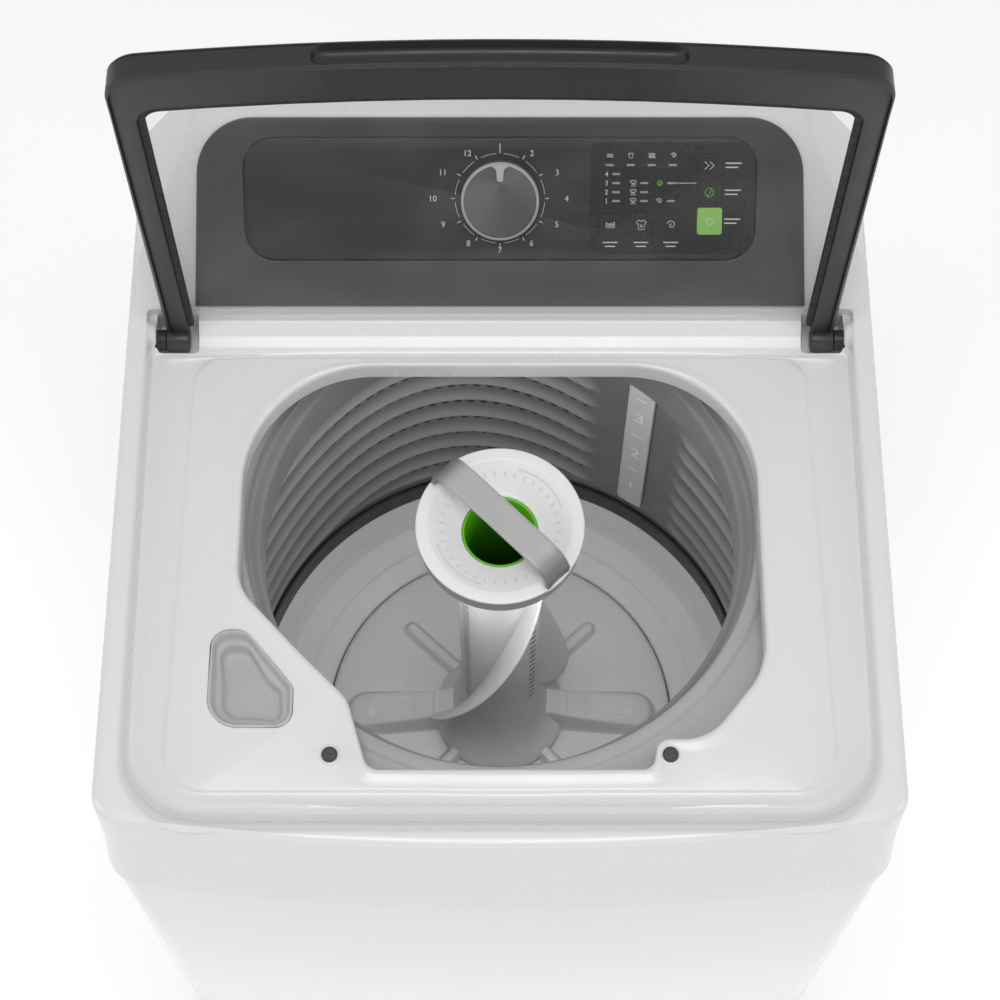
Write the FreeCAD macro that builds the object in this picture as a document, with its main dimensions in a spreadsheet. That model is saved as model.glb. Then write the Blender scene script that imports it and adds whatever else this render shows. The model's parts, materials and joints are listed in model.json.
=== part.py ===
import FreeCAD, Part
import math
import os
import re

import Sketcher
from FreeCAD import Placement, Rotation, Vector

# A top load washing machine, in millimetres. X runs across the front, Y from the front to the
# back and Z up. The origin is on the floor, under the middle of the machine.

SIZES = [
    # The whole machine
    ("body_width", 656, "cabinet across its sides"),
    ("body_front", 343, "origin to the middle of the bowed front"),
    ("body_back", 333, "origin to the cabinet's back face"),
    ("rear_reach", 345, "origin to the hose stubs' back ends"),
    ("front_bow", 24, "how far the front bows out between its corners"),
    ("corner_radius", 28, "cabinet's upright corners"),
    ("sheet", 0.8, "steel sheet of the cabinet and rear panel"),
    ("base_low", 28, "underside of the base frame"),
    ("base_high", 80, "top of the base frame"),
    ("seam_height", 835, "top edge of the cabinet"),
    ("rim_height", 940, "rim of the top cover"),
    ("deck_drop", 22, "deck below the rim"),
    ("console_rise", 110, "console's top above the rim"),
    ("gap", 0.3, "clearance between neighbours that only face each other"),
    ("slip", 0.05, "radial clearance of a running fit"),
    # Feet
    ("foot_x", 285, "foot from the middle, sideways"),
    ("foot_y", 285, "foot from the middle, front and back"),
    ("foot_radius", 22, "rubber pad of a foot"),
    ("foot_stud", 5, "threaded stud's radius"),
    # Top cover
    ("skirt_over", 2, "top cover's skirt outside the cabinet, each side"),
    ("skirt_lean", 22, "how far the skirt's front leans back at the rim"),
    ("moulding", 3, "wall of the plastic mouldings"),
    ("recess_half", 306, "half the width of the lid's recess"),
    ("recess_front", 284, "front of the lid's recess"),
    ("recess_back", 134.5, "front edge of the hinge pockets"),
    ("opening_half", 223, "half the width of the loading opening"),
    ("opening_front", 249, "front edge of the loading opening"),
    ("opening_back", 121.5, "back edge of the loading opening"),
    ("opening_round", 105, "corners of the loading opening"),
    ("lip_depth", 22, "lip under the opening's edge"),
    ("tray_depth", 20, "bleach tray below the deck"),
    ("bumper_x", 140, "lid bumper from the middle"),
    ("bumper_y", 237.5, "lid bumper in front of the middle"),
    ("bumper_radius", 6.5, "lid bumper"),
    # Lid
    ("lid_half", 296, "half the lid's width"),
    ("lid_reach", 392, "middle of the lid's bowed front from the hinge line"),
    ("lid_thick", 26, "front bar of the lid"),
    ("bar_thick", 15, "side bars of the lid"),
    ("side_bar", 20, "side bar's width"),
    ("front_bar", 40, "front bar's width"),
    ("lid_corner", 28, "front corners of the lid"),
    ("window_corner", 20, "front corners of the lid's window"),
    ("hinge_y", 146, "hinge line, behind the middle"),
    ("hinge_drop", 19, "hinge line below the rim"),
    ("hinge_boss", 10, "rounded end of a lid arm"),
    ("hinge_pin", 4, "hinge pin's radius"),
    ("lid_face", 2, "closed lid's inner face above the hinge line"),
    ("lid_lean", 2.5, "how far past upright the open lid leans, in degrees"),
    ("glass", 4, "lid glass"),
    # Console, in its own sloped plane
    ("console_front", 165, "bottom edge of the sloped fascia"),
    ("console_half", 322, "half the console housing's width at the bottom"),
    ("console_top_half", 262, "half the console housing's width at the top"),
    ("fascia_half", 270, "half the fascia's width"),
    ("fascia_length", 170, "fascia up its slope"),
    ("console_run", 130, "depth that the slope covers"),
    ("panel_half", 224, "half the width of the control panel"),
    ("panel_low", 45, "control panel's lower edge up the slope"),
    ("panel_high", 153, "control panel's upper edge up the slope"),
    ("panel_sunk", 2.5, "control panel below the fascia's face"),
    ("dial_along", 99.5, "dial's centre up the slope"),
    ("knob_radius", 34, "dial knob"),
    ("knob_height", 22, "dial knob above the panel"),
    ("key_travel", 1.5, "travel of a push button"),
    # Tub and basket
    ("axis_y", -11, "basket's axis"),
    ("tub_radius", 284, "inside of the outer tub"),
    ("tub_wall", 4, "wall of the outer tub"),
    ("tub_low", 262, "underside of the outer tub's floor"),
    ("tub_high", 876, "top edge of the outer tub"),
    ("drum_radius", 265, "inside of the basket wall"),
    ("drum_wall", 2, "basket wall"),
    ("drum_low", 380, "bottom edge of the basket wall"),
    ("drum_high", 846, "top edge of the basket wall"),
    ("bowl_radius", 189, "well for the impeller in the basket's base"),
    ("bowl_floor", 320, "floor of that well"),
    ("ring_mouth", 213, "inside of the balance ring"),
    ("cover_mouth", 224, "inside of the tub ring"),
    ("impeller_radius", 187.3, "impeller plate"),
    ("impeller_rim", 338, "impeller plate's height at its rim"),
    ("column_radius", 40, "agitator's column"),
    ("column_bore", 36, "bore of the agitator's column"),
    ("column_high", 846, "underside of the agitator's collar"),
    ("fin_reach", 84, "agitator fins at the bottom, from the axis"),
    ("cap_radius", 75, "filter cap"),
    ("cap_high", 870, "filter cap's rim"),
    ("handle_width", 28, "filter handle's strap"),
    ("handle_rise", 24, "filter handle above the cap"),
    # Drive
    ("shaft_radius", 9, "agitator's shaft"),
    ("spin_radius", 15, "basket's spin tube"),
    ("bearing_radius", 31, "ball bearings' outer radius"),
    ("pulley_radius", 92, "driven pulley"),
    ("motor_pulley_radius", 26, "motor pulley"),
    ("groove_depth", 8, "belt groove in a pulley"),
    ("belt_low", 100, "underside of the pulleys"),
    ("belt_high", 118, "top of the pulleys"),
    ("motor_x", 170, "motor's axis from the basket's axis"),
    ("motor_radius", 58, "motor's casing"),
    ("pump_x", -175, "drain pump, sideways"),
    ("pump_y", 106, "drain pump behind the basket's axis"),
    # Suspension
    ("rod_reach", 235, "suspension rod from the basket's axis, each way"),
    ("rod_radius", 4, "suspension rod"),
    ("rod_low", 205, "bottom of the suspension rods"),
    ("gusset_height", 800, "corner gussets that the rods hang from"),
    ("cup_radius", 24, "suspension cup"),
    # Stubs at the back
    ("inlet_x", 70, "water inlet stub, sideways"),
    ("inlet_z", 898, "water inlet stub's height"),
    ("inlet_radius", 13, "water inlet stub"),
    ("drain_x", -215, "drain stub, sideways"),
    ("drain_z", 760, "drain stub's height"),
    ("hose_radius", 13, "drain hose, outside"),
    ("hose_bore", 10, "drain hose, inside"),
]

doc = FreeCAD.newDocument("top_load_washer")
sheet = doc.addObject("Spreadsheet::Sheet", "sizes")
for row, (alias, value, meaning) in enumerate(SIZES, 1):
    sheet.set(f"A{row}", meaning)
    sheet.set(f"B{row}", str(value))
    sheet.setAlias(f"B{row}", alias)
doc.recompute()

ALIASES = {alias for alias, value, meaning in SIZES}
NODES = {}


# ---------------------------------------------------------------- helpers

def formula(text):
    """A formula of the sheet's names, as an expression that FreeCAD reads."""
    return re.sub(r"[a-z]\w*", lambda m: "sizes." + m[0] if m[0] in ALIASES else m[0], str(text))


def size(text):
    """The number, in millimetres, that a formula gives."""
    return float(sheet.evalExpression(formula(text)))


def bind(item, **formulas):
    """Bind properties of an object to formulas."""
    for name, text in formulas.items():
        item.setExpression(name, formula(text))


def place(item, x="0", y="0", z="0"):
    """Bind where an object stands."""
    for axis, text in zip("xyz", (x, y, z)):
        item.setExpression(f"Placement.Base.{axis}", formula(text))
    return item


def node(item, name):
    """Keep an object as a sub-part, under its own name."""
    item.Label = name
    NODES[name] = item
    return item


def fix_point(sketch, geometry, end, corner):
    """Tie a point of a sketch to a corner's two formulas."""
    for kind, text in zip(("DistanceX", "DistanceY"), corner):
        constraint = Sketcher.Constraint(kind, -1, 1, geometry, end, size(text))
        index = sketch.addConstraint(constraint)
        sketch.setExpression(f"Constraints[{index}]", formula(text))


def draw_outline(sketch, corners):
    """Draw a closed outline. A corner is (x, y), or (x, y, radius) where it is rounded."""
    count = len(corners)
    spots = [Vector(size(c[0]), size(c[1]), 0) for c in corners]
    radii = [size(c[2]) if len(c) > 2 else 0.0 for c in corners]
    arrive, leave, middle = [], [], []
    for i, spot in enumerate(spots):
        back = (spots[i - 1] - spot).normalize()
        ahead = (spots[(i + 1) % count] - spot).normalize()
        if not radii[i]:
            arrive.append(spot)
            leave.append(spot)
            middle.append(spot)
            continue
        half = back.getAngle(ahead) / 2
        arrive.append(spot + back * (radii[i] / math.tan(half)))
        leave.append(spot + ahead * (radii[i] / math.tan(half)))
        middle.append(spot + (back + ahead).normalize() * (radii[i] / math.sin(half)))
    for i in range(count):
        sketch.addGeometry(Part.LineSegment(leave[i], arrive[(i + 1) % count]), False)
    for i, spot in enumerate(spots):
        before = (i - 1) % count
        if not radii[i]:
            sketch.addConstraint(Sketcher.Constraint("Coincident", before, 2, i, 1))
            fix_point(sketch, i, 1, corners[i])
            continue
        left_turn = (spot - spots[i - 1]).cross(spots[(i + 1) % count] - spot).z > 0
        first, last = (arrive[i], leave[i]) if left_turn else (leave[i], arrive[i])
        start = math.atan2(first.y - middle[i].y, first.x - middle[i].x)
        stop = math.atan2(last.y - middle[i].y, last.x - middle[i].x)
        circle = Part.Circle(middle[i], Vector(0, 0, 1), radii[i])
        arc = sketch.addGeometry(Part.ArcOfCircle(circle, start, stop), False)
        point = sketch.addGeometry(Part.Point(spot), True)
        ends = (1, 2) if left_turn else (2, 1)
        sketch.addConstraint(Sketcher.Constraint("Tangent", before, 2, arc, ends[0]))
        sketch.addConstraint(Sketcher.Constraint("Tangent", i, 1, arc, ends[1]))
        sketch.addConstraint(Sketcher.Constraint("PointOnObject", point, 1, before))
        sketch.addConstraint(Sketcher.Constraint("PointOnObject", point, 1, i))
        fix_point(sketch, point, 1, corners[i])
        index = sketch.addConstraint(Sketcher.Constraint("Radius", arc, radii[i]))
        sketch.setExpression(f"Constraints[{index}]", formula(corners[i][2]))


def sketched_body(name, plane, corners, offset="0"):
    """A body with one closed outline on one of its own planes."""
    body = doc.addObject("PartDesign::Body", name)
    sketch = body.newObject("Sketcher::SketchObject", name + "_outline")
    plane = next(item for item in body.Origin.OriginFeatures if item.Role == plane)
    sketch.AttachmentSupport = [(plane, "")]
    sketch.MapMode = "FlatFace"
    sketch.setExpression("AttachmentOffset.Base.z", formula(offset))
    draw_outline(sketch, corners)
    return body, sketch


def padded(name, plane, corners, low, high):
    """An outline padded along the normal of its plane, from low to high."""
    body, sketch = sketched_body(name, plane, corners, low)
    pad = body.newObject("PartDesign::Pad", name + "_pad")
    pad.Profile = sketch
    bind(pad, Length=f"({high}) - ({low})")
    return body


def prism(name, corners, low, high):
    """An outline in X and Y, from one height to another."""
    return padded(name, "XY_Plane", corners, low, high)


def side_prism(name, corners, left, right):
    """An outline in Y and Z, from one side to the other."""
    return padded(name, "YZ_Plane", corners, left, right)


def front_prism(name, corners, near, far):
    """An outline in X and Z, from the front to the back."""
    return padded(name, "XZ_Plane", corners, f"-({far})", f"-({near})")


def box(name, x, y, z):
    """A block between two limits along each axis."""
    return prism(name, rectangle(x, y), z[0], z[1])


def rectangle(x, y, *radius):
    """The corners of a rectangle, rounded or not."""
    return [(a, b, *radius) for a, b in ((x[0], y[0]), (x[1], y[0]), (x[1], y[1]), (x[0], y[1]))]


def turned(name, corners, x="0", y="0", z="0"):
    """An outline of radius and height, turned about an upright axis."""
    body, sketch = sketched_body(name, "XZ_Plane", corners)
    turn = body.newObject("PartDesign::Revolution", name + "_turn")
    turn.Profile = sketch
    turn.ReferenceAxis = (sketch, ["V_Axis"])
    turn.Angle = 360
    return place(body, x, y, z)


def ring(name, inner, outer, low, high, x="0", y="0"):
    """A plain ring about an upright axis."""
    return turned(name, [(inner, low), (outer, low), (outer, high), (inner, high)], x, y)


def disc(name, radius, low, high, x="0", y="0"):
    """A plain cylinder about an upright axis."""
    solid = doc.addObject("Part::Cylinder", name)
    bind(solid, Radius=radius, Height=f"({high}) - ({low})")
    return place(solid, x, y, low)


def lying(name, radius, axis, near, far, first, second):
    """A cylinder along X or Y, between two limits; first and second place it crosswise."""
    solid = doc.addObject("Part::Cylinder", name)
    bind(solid, Radius=radius, Height=f"({far}) - ({near})")
    if axis == "X":
        solid.Placement = Placement(Vector(), Rotation(Vector(0, 1, 0), 90))
        return place(solid, near, first, second)
    solid.Placement = Placement(Vector(), Rotation(Vector(1, 0, 0), -90))
    return place(solid, first, near, second)


def cut(name, base, *tools):
    """What is left of a piece after others are taken from it."""
    for count, tool in enumerate(tools):
        step = doc.addObject("Part::Cut", f"{name}_{count}")
        step.Base, step.Tool = base, tool
        base = step
    return base


def fused(name, *pieces):
    """Several pieces joined into one."""
    whole = doc.addObject("Part::MultiFuse", name)
    whole.Shapes = list(pieces)
    return whole


def common(name, *pieces):
    """What several pieces share."""
    whole = doc.addObject("Part::MultiCommon", name)
    whole.Shapes = list(pieces)
    return whole


def group(name, pieces):
    """Separate solids kept together in one sub-part."""
    whole = doc.addObject("Part::Compound", name)
    whole.Links = list(pieces)
    return whole


def turned_copy(name, item, degrees, x="0", y="0"):
    """A piece turned about an upright axis through (x, y)."""
    whole = doc.addObject("Part::Compound", name)
    whole.Links = [item]
    whole.Placement = Placement(Vector(), Rotation(Vector(0, 0, 1), degrees))
    return place(whole, x, y)


FRONT_RADIUS = "((body_width / 2)^2 + front_bow^2) / (2 * front_bow)"


def bowed_block(name, inset, low, high, lean=None):
    """A block with the machine's plan: straight sides and back and a bowed front that may lean."""
    half = f"body_width / 2 - ({inset})"
    block = box(name + "_block", (f"-({half})", half),
                (f"-body_front + ({inset})", f"body_back - ({inset})"), (low, high))
    bow = FRONT_RADIUS
    kind = "Part::Cone" if lean else "Part::Cylinder"
    drum = doc.addObject(kind, name + "_bow")
    bind(drum, Height=f"({high}) - ({low})")
    if lean:
        bind(drum, Radius1=f"{bow} - ({inset})", Radius2=f"{bow} - ({inset}) - ({lean})")
    else:
        bind(drum, Radius=f"{bow} - ({inset})")
    place(drum, "0", f"{bow} - body_front", low)
    return common(name, block, drum)


def rounded(name, item, radius, chosen):
    """A piece with the chosen edges rounded to one radius."""
    doc.recompute()
    fillet = doc.addObject("Part::Fillet", name)
    fillet.Base = item
    value = size(radius)
    edges = enumerate(item.Shape.Edges, 1)
    fillet.Edges = [(index, value, value) for index, edge in edges if chosen(edge)]
    return fillet


def upright(edge):
    """Whether an edge rises more than it runs sideways."""
    bounds = edge.BoundBox
    return bounds.ZLength > 3 * max(bounds.XLength, bounds.YLength)


def front_upright(edge):
    """Whether an edge is one of a block's two front corners."""
    return upright(edge) and edge.CenterOfMass.y < 0


CORNERS = [(1, 1), (-1, 1), (-1, -1), (1, -1)]


def at_corners(name, make):
    """One piece at each of the machine's four corners."""
    return [make(f"{name}_{index}", sx, sy) for index, (sx, sy) in enumerate(CORNERS)]


# ---------------------------------------------------------------- cabinet, base and feet

def rod_spot(sx, sy):
    """Where a suspension rod hangs."""
    return f"{sx} * rod_reach", f"axis_y + {sy} * rod_reach"


def gusset(name, sx, sy):
    """A corner plate of the cabinet, from its two walls to past the suspension rod."""
    wall_x = f"{sx} * (body_width / 2 - sheet / 2)"
    wall_y = "body_back - sheet / 2" if sy > 0 else "-body_front + front_bow - 1"
    rod_x, rod_y = rod_spot(sx, sy)
    past_x, past_y = f"{rod_x} - {sx * 20}", f"{rod_y} - {sy * 20}"
    corners = [(wall_x, wall_y), (wall_x, past_y), (f"{rod_x}", past_y), (past_x, rod_y),
               (past_x, wall_y)]
    plate = prism(name, corners, "gusset_height - 4", "gusset_height")
    hole = disc(name + "_hole", "rod_radius + 1", "gusset_height - 9", "gusset_height + 9",
                rod_x, rod_y)
    return cut(name + "_plate", plate, hole)


def cabinet():
    outer = rounded("wrapper_outer", bowed_block("wrapper", "0", "base_low", "seam_height"),
                    "corner_radius", front_upright)
    inner = rounded("wrapper_inner",
                    bowed_block("wrapper_space", "sheet", "base_low - 5", "seam_height + 5"),
                    "corner_radius - sheet", front_upright)
    window = box("wrapper_window", ("-body_width / 2 + 26", "body_width / 2 - 26"),
                 ("body_back - 10", "body_back + 10"), ("base_high", "seam_height - 40"))
    wrapper = cut("wrapper_shell", outer, inner, window)
    welded = fused("wrapper_welded", wrapper, *at_corners("gusset", gusset))
    return common("wrapper_trimmed", welded, outer)


def rear_panel():
    edge = "body_width / 2 - 14"
    plate = front_prism("rear_plate", rectangle((f"-({edge})", edge),
                                                ("base_high - 12", "seam_height - 28"), "12"),
                        "body_back", "body_back + sheet")
    relief = front_prism("rear_relief", rectangle(("-190", "190"), ("220", "640"), "40"),
                         "body_back", "body_back + sheet + 5")
    hollow = front_prism("rear_hollow", rectangle(("-189", "189"), ("221", "639"), "39"),
                         "body_back - 5", "body_back + 5")
    drain = lying("rear_drain_hole", "16", "Y", "body_back - 9", "body_back + 9", "drain_x",
                  "drain_z")
    gland = lying("rear_gland_hole", "9", "Y", "body_back - 9", "body_back + 9", "250", "140")
    return cut("rear_shell", fused("rear_pressed", plate, relief), hollow, drain, gland)


def base_frame():
    outer = rounded("base_outer", bowed_block("base_block", "sheet + gap", "base_low", "base_high"),
                    "corner_radius - sheet - gap", front_upright)
    inner = rounded("base_inner", bowed_block("base_space", "sheet + gap + 3", "base_low + 3",
                                              "base_high + 5"),
                    "corner_radius - sheet - gap - 3", front_upright)
    drip = bowed_block("base_drip", "90", "base_low - 5", "base_high")
    holes = at_corners("base_hole", lambda name, sx, sy: disc(
        name, "foot_stud + slip", "base_low - 5", "base_high + 5", f"{sx} * foot_x",
        f"{sy} * foot_y"))
    return cut("base_tray", outer, inner, drip, *holes)


def foot(name, sx, sy):
    """A rubber-shod foot: its pad, hexagon and threaded stud."""
    corners = [("0", "0"), ("foot_radius", "0"), ("foot_radius", "8"), ("foot_radius - 5", "13"),
               ("11", "15"), ("11", "base_low"), ("foot_stud", "base_low"),
               ("foot_stud", "base_high + 6"), ("0", "base_high + 6")]
    return turned(name, corners, f"{sx} * foot_x", f"{sy} * foot_y")


def panel_screws():
    """Hexagon screws round the rear panel's edge."""
    heads = []
    for side in (-1, 1):
        for index in range(4):
            height = f"base_high + 20 + {index} * (seam_height - base_high - 80) / 3"
            heads.append(lying(f"panel_screw_{side}_{index}", "4", "Y", "body_back + sheet",
                               "body_back + sheet + 3.5", f"{side} * (body_width / 2 - 20)",
                               height))
    return group("panel_screw_set", heads)


node(cabinet(), "cabinet")
node(rear_panel(), "rear_panel")
node(base_frame(), "base_frame")
node(group("feet", at_corners("foot", foot)), "levelling_feet")
node(panel_screws(), "panel_screws")

# ---------------------------------------------------------------- top cover

HINGE_Z = "(rim_height - hinge_drop)"
DECK = "rim_height - deck_drop"


def recess(name, grow):
    """The sunk deck under the lid, which rises to the rim in front and to the console behind."""
    corners = [(f"-recess_front - 22 - ({grow})", "rim_height + 5"),
               (f"-recess_front - ({grow})", f"{DECK} - ({grow})"),
               (f"recess_back + ({grow})", f"{DECK} - ({grow})"),
               (f"console_front + 1 + ({grow})", f"rim_height - 10 - ({grow})"),
               (f"console_front + 1 + ({grow})", "rim_height + 5")]
    half = f"recess_half + ({grow})"
    return side_prism(name, corners, f"-({half})", half)


def opening(name, grow, low, high):
    """The loading opening, cut across at the front left corner for the bleach tray, and notched at
    the front right corner for a lid bumper."""
    across = [(f"-opening_half - ({grow})", "-96"), ("-167", f"-146 - ({grow})"),
              (f"-128 - ({grow})", "-194"), (f"-108 - ({grow})", f"-opening_front - ({grow})")]
    lobe = f"-bumper_y + 12 - ({grow})"
    corners = [*across, (f"bumper_x - 13 + ({grow})", f"-opening_front - ({grow})"),
               (f"bumper_x - 8 + ({grow})", lobe, "6"),
               (f"opening_half + ({grow})", lobe, "opening_round - 25"),
               (f"opening_half + ({grow})", f"opening_back + ({grow})", "opening_round"),
               (f"-opening_half - ({grow})", f"opening_back + ({grow})", "opening_round")]
    return prism(name, corners, low, high)


def tray_outline(grow):
    """The bleach tray seen from above."""
    return [(f"-241 - ({grow})", f"-130 + ({grow})", f"14 + ({grow})"),
            (f"-241 - ({grow})", f"-212 - ({grow})", f"24 + ({grow})"),
            (f"-174 + ({grow})", f"-212 - ({grow})", f"12 + ({grow})"),
            (f"-174 + ({grow})", f"-178 + ({grow})", f"8 + ({grow})"),
            (f"-214 + ({grow})", f"-130 + ({grow})", f"14 + ({grow})")]


def hinge_pocket(name, side, grow, floor):
    """The pocket in the deck that a lid arm turns in."""
    x = sorted((side * 268, side * 305))
    return box(name, (f"{x[0]} - ({grow})", f"{x[1]} + ({grow})"),
               (f"recess_back - ({grow})", f"hinge_y + 21 + ({grow})"), (floor, "rim_height + 5"))


def top_cover():
    outer = rounded("skirt_outer",
                    bowed_block("skirt", "-skirt_over", "seam_height + 1", "rim_height",
                                "skirt_lean"), "corner_radius", front_upright)
    space = rounded("skirt_inner",
                    bowed_block("skirt_space", "moulding - skirt_over", "seam_height - 5",
                                "rim_height - moulding", "skirt_lean"),
                    "corner_radius - moulding", front_upright)
    pockets = [hinge_pocket(f"pocket_{side}", side, "0", HINGE_Z + " - 14") for side in (-1, 1)]
    pocket_walls = [hinge_pocket(f"pocket_wall_{side}", side, "moulding", HINGE_Z + " - 17")
                    for side in (-1, 1)]
    lip = cut("lip", opening("lip_outer", "moulding", f"{DECK} - lip_depth", DECK))
    solid_zone = fused("deck_zone", recess("deck_under", "moulding"), *pocket_walls, lip)
    shell = cut("cover_shell", outer, cut("cover_space", space, solid_zone))
    tray_hole = prism("tray_hole", tray_outline("moulding + gap"), f"{DECK} - 40", DECK + " + 5")
    bush_holes = [lying(f"bush_hole_{side}", "9 + gap", "X", *bush_span(side, "1"), "hinge_y",
                        HINGE_Z) for side in (-1, 1)]
    inlet_hole = lying("inlet_hole", "inlet_radius + 5", "Y", "body_back - 9", "body_back + 9",
                       "inlet_x", "inlet_z")
    return cut("cover", shell, recess("deck_sink", "0"),
               opening("deck_hole", "0", f"{DECK} - 60", "rim_height + 9"), tray_hole, *pockets,
               *bush_holes, inlet_hole)


def bush_span(side, extra):
    """From the lid arm's outer face out through the pocket's wall."""
    near, far = f"lid_half + gap - {extra}", f"recess_half + 7 + {extra}"
    return (near, far) if side > 0 else (f"-({far})", f"-({near})")


def bleach_tray():
    rim = prism("tray_outer", tray_outline("moulding"), f"{DECK} - tray_depth - 2", DECK)
    hollow = prism("tray_inner", tray_outline("0"), f"{DECK} - tray_depth", DECK + " + 5")
    holes = [disc(f"tray_drain_{index}", "2", f"{DECK} - 40", DECK, x, y)
             for index, (x, y) in enumerate((("-187", "-204"), ("-180", "-204"), ("-183.5", "-198")))]
    return cut("tray", rim, hollow, *holes)


def lid_bumpers():
    corners = [("0", DECK), ("bumper_radius", DECK), ("bumper_radius", DECK + " + 3"),
               ("bumper_radius - 1.5", HINGE_Z + " + lid_face - gap"),
               ("0", HINGE_Z + " + lid_face - gap")]
    return group("bumper_set", [turned(f"bumper_{side}", corners, f"{side} * bumper_x", "-bumper_y")
                                for side in (-1, 1)])


def hinge_bushes():
    bushes = []
    for side in (-1, 1):
        body = lying(f"bush_body_{side}", "9", "X", *bush_span(side, "0"), "hinge_y", HINGE_Z)
        bore = lying(f"bush_bore_{side}", "hinge_pin + slip", "X", *bush_span(side, "5"),
                     "hinge_y", HINGE_Z)
        bushes.append(cut(f"bush_{side}", body, bore))
    return group("bush_set", bushes)


node(top_cover(), "top_cover")
node(bleach_tray(), "bleach_tray")
node(lid_bumpers(), "lid_bumpers")
node(hinge_bushes(), "hinge_bushes")

# ---------------------------------------------------------------- console

SLOPE = math.degrees(math.atan2(size("console_rise"), size("console_run")))


def on_console(item):
    """Set a piece on the console's sloped plane: X across, Y up the slope, Z out of it."""
    item.Placement = Placement(Vector(), Rotation(Vector(1, 0, 0), SLOPE))
    return place(item, "0", "console_front", "rim_height")


def console_side(name, grow, low):
    """The console seen from the side, as wide as it is at the bottom."""
    sunk = f"moulding + 1 + ({grow})"
    corners = [(f"console_front + {sunk}", low), ("body_back", low),
               (f"body_back - ({grow})", f"rim_height + 20 - ({grow})"),
               (f"body_back - ({grow})", f"rim_height + console_rise - ({grow})", "26"),
               (f"console_front + console_run + ({sunk})", f"rim_height + console_rise - ({grow})")]
    half = f"console_half - ({grow})"
    return side_prism(name, corners, f"-({half})", half)


def console_front_view(name, grow):
    """The console seen from the front, with its shoulders."""
    top = f"rim_height + console_rise + 2 - ({grow})"
    corners = [(f"-console_half + ({grow})", "rim_height - 60"),
               (f"console_half - ({grow})", "rim_height - 60"),
               (f"console_half - ({grow})", "rim_height + 24"),
               (f"console_top_half - ({grow})", top, "30"),
               (f"-console_top_half + ({grow})", top, "30"),
               (f"-console_half + ({grow})", "rim_height + 24")]
    return front_prism(name, corners, "0", "body_back + 20")


def console_housing():
    outer = common("console_outer", console_side("console_profile", "0", "rim_height"),
                   console_front_view("console_shape", "0"))
    inner = common("console_inner",
                   console_side("console_profile_in", "moulding", "rim_height - 5"),
                   console_front_view("console_shape_in", "moulding"))
    window = on_console(prism("console_window", rectangle(("-panel_half - 2", "panel_half + 2"),
                                                          ("panel_low - 2", "panel_high + 2"), "27"),
                              "-40", "5"))
    return cut("console_shell", outer, inner, window)


def fascia_outline(grow):
    """The fascia's outline, with large upper corners."""
    return [(f"-fascia_half + ({grow})", "4"), (f"fascia_half - ({grow})", "4"),
            (f"fascia_half - 8 - ({grow})", f"fascia_length - ({grow})", "50"),
            (f"-fascia_half + 8 + ({grow})", f"fascia_length - ({grow})", "50")]


def panel_outline(grow):
    """The sunk control panel's outline."""
    return rectangle((f"-panel_half - ({grow})", f"panel_half + ({grow})"),
                     (f"panel_low - ({grow})", f"panel_high + ({grow})"), f"27 + ({grow})")


def console_fascia():
    plate = prism("fascia_plate", fascia_outline("0"), "-panel_sunk", "0")
    window = prism("fascia_window", panel_outline("0"), "-9", "9")
    return on_console(cut("fascia", plate, window))


# Each button: its middle across and up the slope, then its width and length.
KEYS = {
    "level_button": ("96.7", "76.6", "19", "18"),
    "soil_button": ("123.9", "76.6", "19", "18"),
    "extra_dry_button": ("150.2", "76.6", "19", "18"),
    "skip_button": ("182.4", "128.5", "19", "18"),
    "eco_button": ("182.8", "105", "19", "18"),
    "start_button": ("183.6", "79.6", "22", "24"),
}
LIGHTS = [("95.5", "128.7"), ("113.8", "128.7"), ("132.1", "128.7"), ("150.4", "128.7"),
          ("101.4", "120.9"), ("101.4", "113"), ("101.4", "105.1"), ("101.4", "97.3"),
          ("125.9", "113"), ("125.9", "105.1"), ("125.9", "97.3"),
          ("149.4", "113"), ("149.4", "97.3")]


def key_outline(key, grow):
    """A button's outline."""
    across, along, width, length = key
    return rectangle((f"{across} - {width} / 2 - ({grow})", f"{across} + {width} / 2 + ({grow})"),
                     (f"{along} - {length} / 2 - ({grow})", f"{along} + {length} / 2 + ({grow})"),
                     f"2.5 + ({grow})")


def console_panel():
    plate = prism("panel_plate", panel_outline("0 - gap"), "-panel_sunk - 2", "-panel_sunk")
    holes = [prism(f"{name}_hole", key_outline(key, "gap"), "-20", "5") for name, key in KEYS.items()]
    dial = disc("dial_hole", "5", "-20", "5", "0", "dial_along")
    return on_console(cut("panel", plate, dial, *holes))


def light(name, across, along):
    """A status light's lens, set on the panel."""
    return prism(name, rectangle((f"{across} - 3.4", f"{across} + 3.4"),
                                 (f"{along} - 0.9", f"{along} + 0.9")),
                 "-panel_sunk", "-panel_sunk + 0.5")


def button(name, key):
    """A button's cap and the flange that keeps it behind the panel."""
    cap = prism(name + "_cap", key_outline(key, "0"), "-panel_sunk - 5", "-panel_sunk + 2")
    flange = prism(name + "_flange", key_outline(key, "1.2"), "-panel_sunk - 5.5", "-panel_sunk - 3")
    return on_console(fused(name + "_moulding", cap, flange))


def control_board():
    """The circuit board, the switch under each button and the dial's encoder."""
    board = prism("board_plate", rectangle(("-60", "210"), ("55", "145")), "-26", "-24")
    switches = [disc(f"{name}_switch", "3.5", "-24.5", "-panel_sunk - 5.5 - key_travel - gap",
                     key[0], key[1]) for name, key in KEYS.items()]
    encoder = box("encoder", ("-9", "9"), ("dial_along - 9", "dial_along + 9"), ("-24.5", "-14"))
    bore = disc("encoder_bore", "3 + slip", "-40", "0", "0", "dial_along")
    return on_console(cut("board", fused("board_whole", board, encoder, *switches), bore))


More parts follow.
